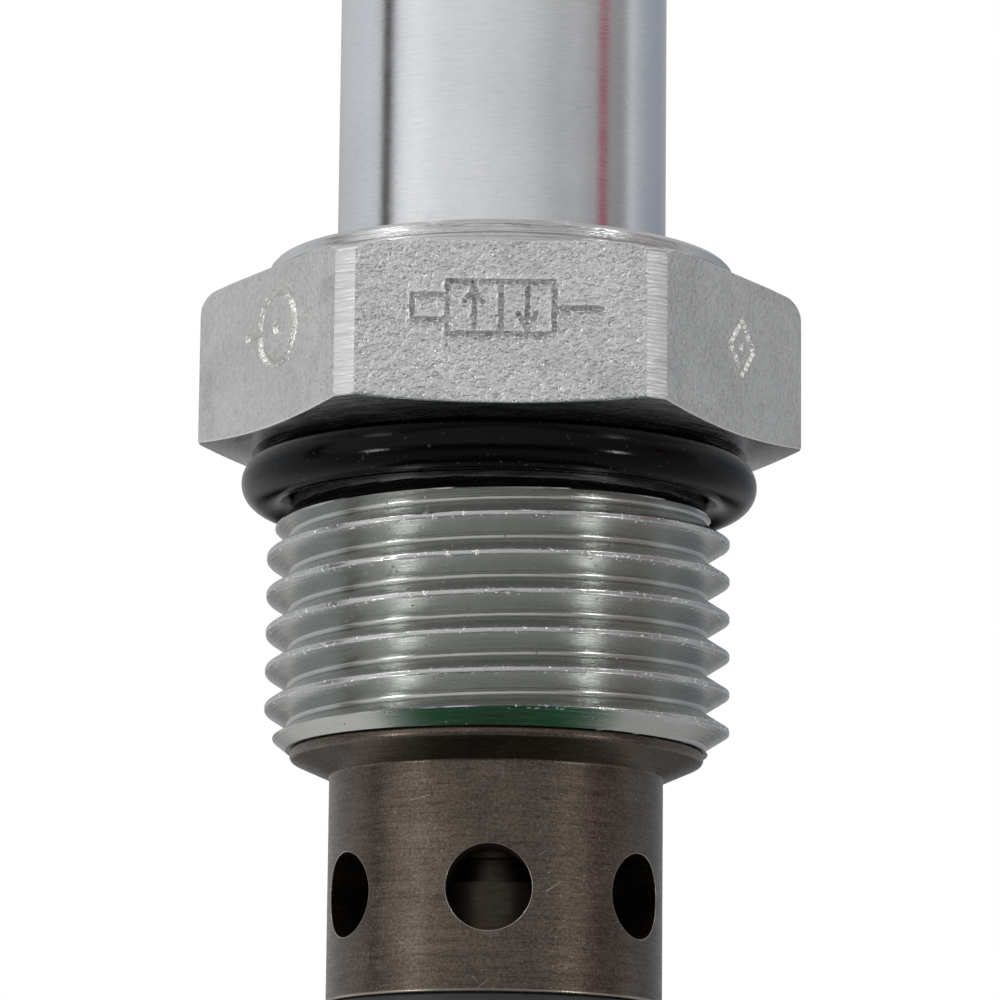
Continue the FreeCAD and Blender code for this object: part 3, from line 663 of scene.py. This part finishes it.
def hex_outline(r):
    """The hexagon's and collar's outline where the wall is at radius r."""
    low = HEX_LOW * (r - WASHER) / (HEX_CORNER - WASHER)
    # The crown's points gather near the wall where the top rolls over
    spread = 1.0 + 0.6 * min(1.0, max(0.0, (r - 13.6) / 0.5))
    inner = min(r - 1.1, HEX_CORNER - HEX_ROUND + 0.02)
    crown = [(c, hex_crown(c)) for c in (r - (r - inner) * (k / 4) ** spread for k in range(1, 5))]
    return [
        (BODY_BORE, NECK_END), (NECK, NECK_END), (NECK, 0), (WASHER, 0), (r, low), (r, hex_crown(r)), *crown,
        (COLLAR, HEX_TOP), (COLLAR, 8.36), (COLLAR - 0.07, 8.40), (COLLAR - 0.07, 8.54), (COLLAR, 8.58),
        (COLLAR, 8.80), (11.15, 8.86), (11.17, 9.02), (10.98, BORE_END - 0.03),
        (9.6, BORE_END), (9.55, BORE_END - 0.05), (9.5, BORE_END), (8.2, BORE_END), (BODY_BORE, BORE_END - 0.12),
    ]


def hex_material(side, on_flat):
    """The material of a side of the outline, on a flat or at a corner."""
    # The neck and the seat face take the darker zinc, which is painted shade under the hexagon
    if side <= NECK_SIDE:
        return NECK_PAINTED_SHADE
    if WALL_SIDE <= side <= CROWN_SIDE:
        return BLASTED if on_flat or side > ROLLED_SIDE else RIDGED
    return RINGS if CROWN_SIDE < side <= RINGS_SIDE else TURNED


def hex_body():
    columns = hex_columns()
    grid = []
    for column in columns:
        points, sides = fillet(hex_outline(hex_radius(*column)), HEX_RADII)
        points, sides = split_side(points, sides, WALL_SIDE, WALL_ROWS)
        grid.append(points)
    r, z = np.moveaxis(np.array(grid), -1, 0)
    angles = np.radians([c[0] for c in columns])[:, None]
    vertices = np.stack([r * np.cos(angles), r * np.sin(angles), z], axis=-1).transpose(1, 0, 2)
    punch(vertices, columns, sides)
    indices = []
    for side in sides:
        corner, flat = (HEX_MATERIALS.index(hex_material(side, on_flat)) for on_flat in (False, True))
        indices += [flat if on_flat else corner for _, _, on_flat in columns]
    made = object_from("hex_adapter", vertices.reshape(-1, 3), wrap_grid(len(sides), len(columns)),
                       HEX_MATERIALS, indices)
    settle(made, "housing", "plated_steel", "hex_body")


def punch(vertices, columns, sides):
    """Presses the marks' dots into the flats, with a faint raised rim round each."""
    on_side = [i for i, s in enumerate(sides) if s == WALL_SIDE]
    for sixth, name in MARKED.items():
        dots, width, depth = MARKS[name]
        picked = [j for j, c in enumerate(columns) if c[1] == sixth and c[2]]
        turn = math.radians(facing(sixth))
        normal = np.array([math.cos(turn), math.sin(turn), 0])
        across = np.array([-math.sin(turn), math.cos(turn), 0])
        patch = vertices[np.ix_(on_side, picked)]
        s, z = patch @ across, patch[:, :, 2]
        nearest = np.full(s.shape, 1e9)
        wobble = np.random.default_rng(7).normal(0, 0.018, (len(dots), 2))
        for x, height in np.array(dots) + wobble:
            nearest = np.minimum(nearest, np.hypot(s - x, z - height))
        pit = np.clip(1 - (nearest / width) ** 2, 0, 1) * depth
        rim = np.exp(-((nearest - width * 1.25) / (width * 0.35)) ** 2) * depth * 0.2
        vertices[np.ix_(on_side, picked)] = patch - (pit - rim)[:, :, None] * normal


hex_body()


# ---------------------------------------------------------------- threads

THREAD_R, THREAD_END = 11.08, -14.28
THREAD_JOIN = 2e-8  # metres
NICK_WAVES = ((41.3, 9.1), (67.7, -7.3), (23.1, 17.0))  # waves per radian round and per millimetre up


def helix_thread(name, material, slot, phase, pitch, crest_r, root_r, crest, root, envelope, low, high,
                 inner, corner, step_deg=2.0, nicks=0.0):
    """A right-hand thread: one ribbon that climbs round the axis, cut to an envelope radius, with closed ends."""
    half = pitch / 2
    outline = [(crest_r, -half), (crest_r, -half + crest / 2), (root_r, -root / 2), (root_r, root / 2),
               (crest_r, half - crest / 2), (crest_r, half)]
    points, _ = fillet(outline, [0, corner, corner * 1.2, corner * 1.2, corner, 0], 0.02)
    longest = 0.11
    cut = []
    for a, b in zip(points, points[1:]):
        pieces = max(1, int(np.linalg.norm(b - a) / longest))
        cut += [a + (b - a) * part for part in np.linspace(0, 1, pieces, endpoint=False)]
    points = np.array(cut)
    per = len(points)
    turns_low = math.floor((low + phase) / pitch - 1.5)
    turns_high = math.ceil((high + phase) / pitch + 1.5)
    steps = round(360 / step_deg)
    total = (turns_high - turns_low) * steps
    t = turns_low * steps + np.arange(total)
    angle = (t / steps * 2 * math.pi)[:, None]
    z = -phase + pitch * (t / steps)[:, None] + points[:, 1][None, :]
    r = np.repeat(points[:, 0][None, :], total, axis=0)
    if nicks:
        wave = math.prod(np.sin(angle * around + z * up) for around, up in NICK_WAVES)
        r = r - nicks * np.clip(wave - 0.62, 0, 1) / 0.38 * (r > crest_r - 0.12)
    z = np.clip(z, low, high)
    r = np.minimum(r, envelope(z))
    vertices = np.stack([r * np.cos(angle), r * np.sin(angle), z], axis=-1).reshape(-1, 3)
    faces = []
    for i in range(total - 1):
        for j in range(per):
            if j < per - 1:
                quad = (i * per + j, (i + 1) * per + j, (i + 1) * per + j + 1, i * per + j + 1)
            elif i + 1 + steps < total:
                quad = (i * per + j, (i + 1) * per + j, (i + 1 + steps) * per, (i + steps) * per)
            else:
                continue
            heights = vertices[list(quad), 2]
            if heights.max() - heights.min() > 1e-7:
                faces.append(quad)
    mesh, work = open_mesh(name, vertices, faces, join=THREAD_JOIN)
    bmesh.ops.delete(work, geom=[v for v in work.verts if not v.link_faces], context="VERTS")
    rim = [e for e in work.edges if len(e.link_faces) == 1]
    pulled = bmesh.ops.extrude_edge_only(work, edges=rim)
    for v in [g for g in pulled["geom"] if isinstance(g, bmesh.types.BMVert)]:
        reach = math.hypot(v.co.x, v.co.y)
        v.co.x *= inner * MM / reach
        v.co.y *= inner * MM / reach
    bmesh.ops.remove_doubles(work, verts=work.verts, dist=THREAD_JOIN)
    bmesh.ops.holes_fill(work, edges=[e for e in work.edges if len(e.link_faces) == 1])
    settle(close_mesh(name, mesh, work, [material], 30.0), "housing", slot)


def port_envelope(z):
    """The turned blank's radius that the port thread is cut in."""
    return np.interp(z, [THREAD_END, THREAD_END + 0.8, -3.93, NECK_END, 0], [10.05, THREAD_R, THREAD_R, NECK, NECK])


helix_thread("port_thread", THREAD, "plated_steel", 5.06, 1.8143, THREAD_R, 9.98, 0.21, 0.22,
             port_envelope, THREAD_END, NECK_END + 0.1, 8.3, corner=0.13, nicks=0.06)


# ---------------------------------------------------------------- seals

def o_ring(name, node, rows=56, columns=224):
    """A round-section ring as large as its CAD node."""
    low, high = node_box(node)
    wire = (high[2] - low[2]) / 2
    middle = high[0] - wire
    height = (high[2] + low[2]) / 2
    around = circle(rows)
    points = np.stack([middle + wire * np.cos(around), height + wire * np.sin(around)], axis=-1)
    made = object_from(name, revolved(points, circle(columns)), wrap_grid(rows, columns), [RUBBER])
    settle(made, "housing", "seal_rubber", node)


o_ring("port_o_ring", "port_seal")
o_ring("nose_o_ring", "nose_seal")


# ---------------------------------------------------------------- stem

STEM_R = node_box("nonmagnetic_ring")[1][0]
TUBE_TOP = node_box("nonmagnetic_ring")[0][2]
RING_TOP = node_box("nonmagnetic_ring")[1][2]
COLLAR_TOP = node_box("hex_body")[1][2]
BORE = 6.4


def stem():
    """The lower tube and the ring above it."""
    foot, spigot = -3.0, 7.69
    corners = [(BORE, foot), (spigot, foot), (spigot, COLLAR_TOP), (STEM_R, COLLAR_TOP),
               (STEM_R, TUBE_TOP), (BORE, TUBE_TOP)]
    tube = lathe("stem_lower_tube", corners, [0, 0.1, 0, 0.05, 0.04, 0], STEM, longest=4.0)
    settle(tube, "housing", "stem_steel", "stem_tube")
    corners = [(BORE, TUBE_TOP), (STEM_R, TUBE_TOP), (STEM_R, RING_TOP), (BORE, RING_TOP)]
    ring = lathe("stem_middle_ring", corners, [0, 0.04, 0.04, 0], NONMAGNETIC)
    settle(ring, "housing", "nonmagnetic_steel", "nonmagnetic_ring")


def pole():
    """The solid upper end of the stem, with the stud's thread over its neck."""
    low, high = node_box("pole_piece")
    nose, top = low[2], high[2]
    shoulder = 57.5
    well = 35.7  # end of the spring's hole
    corners = [(3.4, well), (3.4, nose), (6.38, nose), (6.38, RING_TOP), (STEM_R, RING_TOP), (STEM_R, shoulder - 0.4),
               (STEM_R - 0.4, shoulder), (5.45, shoulder), (5.45, shoulder + 1.9), (0.02, shoulder + 1.9), (0.02, well)]
    radii = [0, 0, 0, 0, 0.04, 0.06, 0.1, 0.2, 0, 0, 0]
    settle(lathe("stem_upper_core", corners, radii, STEM, longest=5.0), "housing", "stem_steel", "pole_piece")
    start = shoulder + 1.2

    def envelope(z):
        return np.interp(z, [start, start + 1.0, top - 0.75, top], [5.45, 6.3, 6.3, 5.5])

    helix_thread("stem_stud_thread", TURNED, "stem_steel", -start, 1.27, 6.3, 5.58, 0.2, 0.2,
                 envelope, start, top, 3.0, corner=0.05, step_deg=3.0)


stem()
pole()


# ---------------------------------------------------------------- cage

CAGE_BORE = 5.0
PORT_Z = -21.47
PORT_R = 1.99
PORT_TURN = -2.15  # degrees
PORT_TOP, PORT_BOTTOM = -17.4, -25.5  # the stretch of wall that the ported sectors fill
PORT_ROUND = 0.05
PORT_SIDE = 28  # points on each side of a sector's border
PORT_SHARES = [1.0, 0.85, 0.7, 0.55, 0.42, 0.3, 0.2, 0.12, 0.06, 0.02]
GROOVE = 6.35  # radius of the nose seal's groove
END_SEAL_Z = -7.6


def unit_square():
    """Points round a square from -1 to 1."""
    part = 2 * np.arange(PORT_SIDE) / PORT_SIDE
    one = np.ones(PORT_SIDE)
    sides = ((part - 1, -one), (one, part - 1), (1 - part, one), (-one, 1 - part))
    return np.concatenate([np.stack(side, axis=-1) for side in sides])


def ported_sector(middle_deg):
    """The wall of one sixth of the cage, with its side port.

    Returns vertices, quads and whether each quad is on the port's edge, which is lighter: wear with a painted
    highlight.
    """
    square = unit_square()
    across, up = square[:, 0], square[:, 1]
    count = len(square)
    turn = np.arctan2(up, across)
    heights = np.where(up > 0, PORT_Z + up * (PORT_TOP - PORT_Z), PORT_Z - up * (PORT_BOTTOM - PORT_Z))
    border = np.stack([across * math.radians(30), heights], axis=-1)
    loops = []

    def surface_loop(radius, port, share):
        """A loop on a cylinder, blended from the port's edge (share 0) to the sector's border (share 1)."""
        edge = np.stack([np.arcsin(port * np.cos(turn) / radius), PORT_Z + port * np.sin(turn)], axis=-1)
        place = edge * (1 - share) + border * share
        angle = place[:, 0]
        loops.append(np.stack([radius * np.sin(angle), -radius * np.cos(angle), place[:, 1]], axis=-1))

    def bore_loop(port, depth):
        """A loop on the port's own wall. depth is the distance from the valve's axis at the port's middle."""
        x = port * np.cos(turn)
        y = -np.sqrt(depth ** 2 - x ** 2)
        loops.append(np.stack([x, y, PORT_Z + port * np.sin(turn)], axis=-1))

    for share in PORT_SHARES:
        surface_loop(CAGE_R, PORT_R + PORT_ROUND, share)
    for k in range(5):
        a = math.pi / 2 * k / 4
        bore_loop(PORT_R + PORT_ROUND * (1 - math.sin(a)), CAGE_R - PORT_ROUND * (1 - math.cos(a)))
    for depth in (CAGE_R - 0.12, 7.2, 6.4, 5.6, CAGE_BORE + 0.1, CAGE_BORE + 0.02):
        bore_loop(PORT_R, depth)
    for share in reversed(PORT_SHARES):
        surface_loop(CAGE_BORE, PORT_R + 0.02, share)
    vertices = np.concatenate(loops)
    quads, worn = [], []
    for i in range(len(loops) - 1):
        for j in range(count):
            n = (j + 1) % count
            quads.append((i * count + j, i * count + n, (i + 1) * count + n, (i + 1) * count + j))
            worn.append(len(PORT_SHARES) <= i <= len(PORT_SHARES) + 2)
    turned_by = math.radians(middle_deg)
    c, s = math.cos(turned_by), math.sin(turned_by)
    x, y = vertices[:, 0].copy(), vertices[:, 1].copy()
    vertices[:, 0], vertices[:, 1] = c * x - s * y, s * x + c * y
    return vertices, quads, worn


def cage():
    """The sleeve: a ring of ported sectors, and the plain turned lengths above and below them."""
    vertices, faces, indices = [], [], []
    total = 0
    for sixth in range(6):
        v, q, worn = ported_sector(PORT_TURN + 60 * sixth)
        indices += [int(w) for w in worn]
        vertices.append(v)
        faces += [tuple(i + total for i in quad) for quad in q]
        total += len(v)
    groove_top, groove_bottom = -26.27, -31.07
    end = node_box("cage")[0][2]
    upper = [(CAGE_BORE, PORT_TOP), (CAGE_R, PORT_TOP), (CAGE_R, -15.57), (9.85, -14.72), (9.85, -14.3), (8.19, -14.3),
             (8.19, END_SEAL_Z - 0.95), (6.96, END_SEAL_Z - 0.95), (6.96, END_SEAL_Z + 0.95),
             (8.19, END_SEAL_Z + 0.95), (8.19, -4.6), (CAGE_BORE, -4.6)]
    lower = [(CAGE_BORE, end), (CAGE_R - 0.7, end), (CAGE_R, end + 1.4), (CAGE_R, groove_bottom),
             (GROOVE, groove_bottom), (GROOVE, groove_top), (CAGE_R, groove_top), (CAGE_R, PORT_BOTTOM),
             (CAGE_BORE, PORT_BOTTOM)]
    columns = 6 * PORT_SIDE
    turn = math.radians(-90 + PORT_TURN - 30) + circle(columns)
    # Each length leaves out the side that faces the ported sectors
    for corners, radii, skipped in ((upper, [0, 0, 0.12, 0.26, 0.12, 0, 0, 0, 0, 0, 0.2, 0.1], 0),
                                    (lower, [0.15, 0.15, 0.25, 0.1, 0.1, 0.1, 0.09, 0, 0], 7)):
        points, sides = fillet(corners, radii)
        rows = len(points)
        vertices.append(revolved(points, turn))
        for i, quad in enumerate(wrap_grid(rows, columns, total)):
            row = i // columns
            if sides[row] != skipped:
                faces.append(tuple(quad))
                # A rounded edge's short stretches are lighter, outside and below the thread: wear with a painted
                # highlight
                length = np.linalg.norm(points[(row + 1) % rows] - points[row])
                indices.append(int(0.001 < length < 0.045 and points[row, 0] > 7.6 and points[row, 1] < -16))
        total += rows * columns
    made = object_from("cage_sleeve", np.concatenate(vertices), faces, [CAGE, EDGE_WEAR_AND_HIGHLIGHT], indices, 30.0)
    settle(made, "housing", "cage_steel", "cage")


cage()

for name, node in (("nose_backup_ring_upper", "nose_backup_upper"), ("nose_backup_ring_lower", "nose_backup_lower")):
    low, high = node_box(node)
    corners = [(GROOVE, low[2]), (high[0], low[2]), (high[0], high[2]), (GROOVE, high[2])]
    settle(lathe(name, corners, [0.05, 0.12, 0.12, 0.05], PLASTIC), "housing", "backup_ring", node)


# ---------------------------------------------------------------- the spring and the other inner parts

def return_spring():
    """The spring's coil, as long as its CAD node; the real spring is squashed as the armature moves, but this coil is
    not.
    """
    low, high = node_box("return_spring")
    wire = 0.42
    mean = high[0] - wire
    bottom, top = low[2] + wire, high[2] - wire
    turns = (top - bottom) / 2.3
    path_steps, round_steps = int(turns * 40), 12
    vertices, faces = [], []
    for i in range(path_steps + 1):
        share = i / path_steps
        a = share * turns * 2 * math.pi
        height = bottom + share * (top - bottom)
        for j in range(round_steps):
            b = 2 * math.pi * j / round_steps
            r = mean + wire * math.cos(b)
            vertices.append((r * math.cos(a), r * math.sin(a), height + wire * math.sin(b)))
    for i in range(path_steps):
        for j in range(round_steps):
            n = (j + 1) % round_steps
            faces.append(tuple(round_steps * p + q for p, q in ((i, j), (i, n), (i + 1, n), (i + 1, j))))
    faces.append(tuple(range(round_steps)))
    faces.append(tuple(path_steps * round_steps + j for j in reversed(range(round_steps))))
    made = object_from("return_spring_coil", vertices, faces, [WIRE], sharp_deg=60)
    settle(made, "housing", "spring_steel", "return_spring")
    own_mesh(made)


return_spring()

NODE_MATERIALS = {  # the CAD nodes' own meshes, the replaced ones too
    "armature": IRON, "anti_stick_shim": BRASS, "spring_seat": INNER_PAINTED_SHADE, "armature_stop_washer": INNER_PAINTED_SHADE,
    "tube_seal": RUBBER, "tube_backup_ring": PLASTIC, "cage_seal": RUBBER, "spool": INNER_PAINTED_SHADE, "pull_rod": INNER_PAINTED_SHADE,
    "rod_roll_pin": WIRE, "spool_stop_ring": WIRE,
    "hex_body": TURNED, "stem_tube": STEM, "nonmagnetic_ring": NONMAGNETIC, "pole_piece": STEM, "cage": CAGE,
    "port_seal": RUBBER, "nose_seal": RUBBER, "nose_backup_upper": PLASTIC, "nose_backup_lower": PLASTIC,
    "return_spring": WIRE,
}
for node, material in NODE_MATERIALS.items():
    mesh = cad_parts[node].data
    mesh.materials.clear()
    mesh.materials.append(material)


# ---------------------------------------------------------------- floor, light and camera

def stage_plane(name, low, high, z, material):
    """A level rectangle between two (x, y) corners, in metres, which casts no shadow."""
    mesh = bpy.data.meshes.new(name)
    mesh.from_pydata([(*low, z), (high[0], low[1], z), (*high, z), (low[0], high[1], z)], [], [(0, 1, 2, 3)])
    mesh.materials.append(material)
    made = bpy.data.objects.new(name, mesh)
    scene.collection.objects.link(made)
    made.visible_shadow = False
    return made


def floor():
    """A pale floor that is clear from below and runs out into the white far off."""
    m = Shader("floor_pale", (0.86, 0.86, 0.86), 0.0, 0.6)
    m.tint(m.span(m.noise(m.mm, 0.02, 2.0), 0.3, 0.7), (0.85, 0.85, 0.85), (0.87, 0.87, 0.87))
    far_off = m.span(m.parts(m.turned())[0], 350.0, 1800.0)
    from_below = m.new("ShaderNodeNewGeometry").outputs["Backfacing"]
    through = m.new("ShaderNodeMixShader")
    m.feed(through.inputs[0], m.maths("MAXIMUM", from_below, far_off))
    m.feed(through.inputs[1], m.bsdf.outputs[0])
    m.feed(through.inputs[2], m.new("ShaderNodeBsdfTransparent").outputs[0])
    m.feed(m.tree.nodes["Material Output"].inputs["Surface"], through.outputs[0])
    reach = 6.0
    just_under = CAD_BOX[0][2] - 0.00002
    stage_plane("floor", (-reach, -reach), (reach, reach), just_under, m.material).visible_glossy = False


def green_card():
    """A small card far under the valve, seen in the thread's end chamfer."""
    m = Shader("card_green", (0.0, 0.0, 0.0), 0.0, 1.0)
    m.surface("Specular IOR Level", 0.0)
    patches = m.span(m.noise(m.mm, 0.2, 2.0), 0.3, 0.7)
    m.surface("Emission Color", m.blend(patches, (0.0, 0.074, 0.024), (0.0, 0.084, 0.029)))
    m.surface("Emission Strength", 1.0)
    stage_plane("card_green", (-0.05, -0.03), (0.05, 0.025), -0.1, m.material).visible_camera = False


floor()
green_card()


def studio_world():
    """Pale surroundings for the metal to reflect, with dark and coloured cards. The camera itself sees plain white."""
    world = bpy.data.worlds.new("studio")
    scene.world = world
    world.use_nodes = True
    n = Nodes(world.node_tree)
    n.tree.nodes.clear()

    def ramp(fac, stops):
        """A ramp through (position, colour) stops. A colour is a grey or (r, g, b)."""
        node = n.new("ShaderNodeValToRGB")
        n.feed(node.inputs[0], fac)
        while len(node.color_ramp.elements) < len(stops):
            node.color_ramp.elements.new(0.5)
        for element, (at, colour) in zip(node.color_ramp.elements, stops):
            element.position = at
            element.color = (*colour, 1) if isinstance(colour, tuple) else (colour, colour, colour, 1)
        return node.outputs[0]

    def patch(across, up):
        """Where a ramp round the valve and a ramp up it are both bright."""
        return n.times(ramp(bearing, across), ramp(height, up))

    x, y, z = n.parts(n.new("ShaderNodeTexCoord").outputs["Generated"])
    # 0 and 1 are straight behind, 0.25 is the left side, 0.5 the side that the camera is on and 0.75 the right side
    bearing = n.maths("ARCTAN2", x, n.times(y, -1.0))
    bearing = n.maths("ADD", n.maths("DIVIDE", bearing, 2 * math.pi), 0.5)
    # 0 is straight down, 0.5 level and 1 straight up
    height = n.maths("ADD", n.maths("DIVIDE", n.maths("ARCSINE", z), math.pi), 0.5)
    level = ramp(bearing, [
        (0.00, 0.45), (0.09, 0.62), (0.15, (0.67, 0.69, 0.72)), (0.20, (0.71, 0.75, 0.79)),
        (0.232, 0.70), (0.242, 0.14), (0.248, 0.02), (0.258, 0.02), (0.268, 0.50), (0.280, 0.85),
        (0.30, 0.98), (0.325, 1.0), (0.36, 0.88), (0.44, 0.85), (0.49, 0.77), (0.54, 0.71),
        (0.575, 0.61), (0.61, 0.50), (0.67, 0.42), (0.722, 0.35),
        (0.745, 0.31), (0.762, 0.34), (0.784, (0.67, 0.68, 0.695)), (0.815, (0.46, 0.485, 0.525)),
        (0.85, (0.38, 0.41, 0.45)), (0.90, (0.34, 0.36, 0.41)), (1.00, 0.45),
    ])
    below = ramp(bearing, [
        (0.0, 0.01), (0.035, 0.02), (0.07, 0.65), (0.12, 0.85), (0.2, 0.75), (0.33, 0.42), (0.42, 0.08),
        (0.5, 0.05), (0.58, 0.08), (0.67, 0.38), (0.8, 0.50), (0.93, 0.55), (0.965, 0.02), (1.0, 0.01),
    ])
    above = ramp(bearing, [(0.0, 0.62), (0.3, 0.80), (0.6, 0.62), (1.0, 0.62)])
    red_card = patch([(0.693, 0.0), (0.699, 1.0), (0.717, 1.0), (0.722, 0.0)],
                     [(0.515, 0.0), (0.535, 0.95), (0.588, 0.95), (0.608, 0.0)])
    band = ramp(height, [(0.535, 0.0), (0.56, 0.13), (0.572, 0.12), (0.583, 0.045), (0.594, 0.0)])
    table = patch([(0.2, 0.0), (0.3, 1.0), (0.7, 1.0), (0.8, 0.0)],
                  [(0.13, 0.0), (0.16, 0.8), (0.29, 0.8), (0.34, 0.0)])
    around = level
    for fac, colour in (
        (red_card, (0.34, 0.02, 0.075)),
        (band, (0, 0, 0)),
        (ramp(height, [(0.41, 1.0), (0.49, 0.0)]), below),
        (ramp(height, [(0.60, 0.0), (0.72, 1.0)]), above),
        (table, (0.52, 0.525, 0.53)),
        (ramp(height, [(0.05, 1.0), (0.11, 0.0)]), (0.10, 0.105, 0.10)),
    ):
        around = n.blend(fac, around, colour)
    chosen = n.new("ShaderNodeMixShader")
    n.feed(chosen.inputs[0], n.new("ShaderNodeLightPath").outputs["Is Camera Ray"])
    for socket, colour in ((chosen.inputs[1], around), (chosen.inputs[2], (1, 1, 1, 1))):
        background = n.new("ShaderNodeBackground")
        n.feed(background.inputs[0], colour)
        background.inputs[1].default_value = 1.0
        n.feed(socket, background.outputs[0])
    n.feed(n.new("ShaderNodeOutputWorld").inputs[0], chosen.outputs[0])


studio_world()

SOFTBOX_DISTANCE = 0.6  # metres
SOFTBOXES = {  # azimuth from the front (-Y) towards +X and elevation in degrees, width and height in metres, watts
    "softbox_left": (-57, -16, 0.09, 0.06, 0.44),
    "softbox_right": (54, -16, 0.07, 0.06, 0.40),
    "softbox_left_high": (-60, 42, 0.08, 0.11, 0.44),
    "softbox_right_high": (57, 42, 0.06, 0.11, 0.34),
}
for name, (azimuth, elevation, wide, tall, energy) in SOFTBOXES.items():
    data = bpy.data.lights.new(name, "AREA")
    data.shape = "RECTANGLE"
    data.size, data.size_y, data.energy = wide, tall, energy
    box = bpy.data.objects.new(name, data)
    scene.collection.objects.link(box)
    a, e = math.radians(azimuth), math.radians(elevation)
    away = Vector((math.sin(a) * math.cos(e), -math.cos(a) * math.cos(e), math.sin(e)))
    aimed = away.to_track_quat("Z", "Y").to_matrix().to_4x4()
    box.matrix_world = Matrix.Translation(away * SOFTBOX_DISTANCE) @ aimed
    box.visible_camera = False

# The camera stands low in front of the valve and looks up at it
CAMERA_DISTANCE = 247.73
CAMERA_UP = math.radians(10.4)
CAMERA_ROLL = math.radians(0.6)
AIM = (0.048, 0.0, -2.0)
camera = bpy.data.objects.new("camera", bpy.data.cameras.new("camera"))
scene.collection.objects.link(camera)
forward = Vector((0, math.cos(CAMERA_UP), math.sin(CAMERA_UP)))
upward = Vector((0, -math.sin(CAMERA_UP), math.cos(CAMERA_UP)))
right = Vector((1, 0, 0))
side = right * math.cos(CAMERA_ROLL) + upward * math.sin(CAMERA_ROLL)
top = upward * math.cos(CAMERA_ROLL) - right * math.sin(CAMERA_ROLL)
spot = Vector(AIM) * MM - forward * CAMERA_DISTANCE * MM
camera.matrix_world = Matrix((
    (side.x, top.x, -forward.x, spot.x),
    (side.y, top.y, -forward.y, spot.y),
    (side.z, top.z, -forward.z, spot.z),
    (0, 0, 0, 1),
))
camera.data.sensor_width = 36.0
camera.data.lens = 185.67
camera.data.clip_start = 0.01
camera.data.clip_end = 10.0
scene.camera = camera
scene.view_settings.view_transform = "Standard"
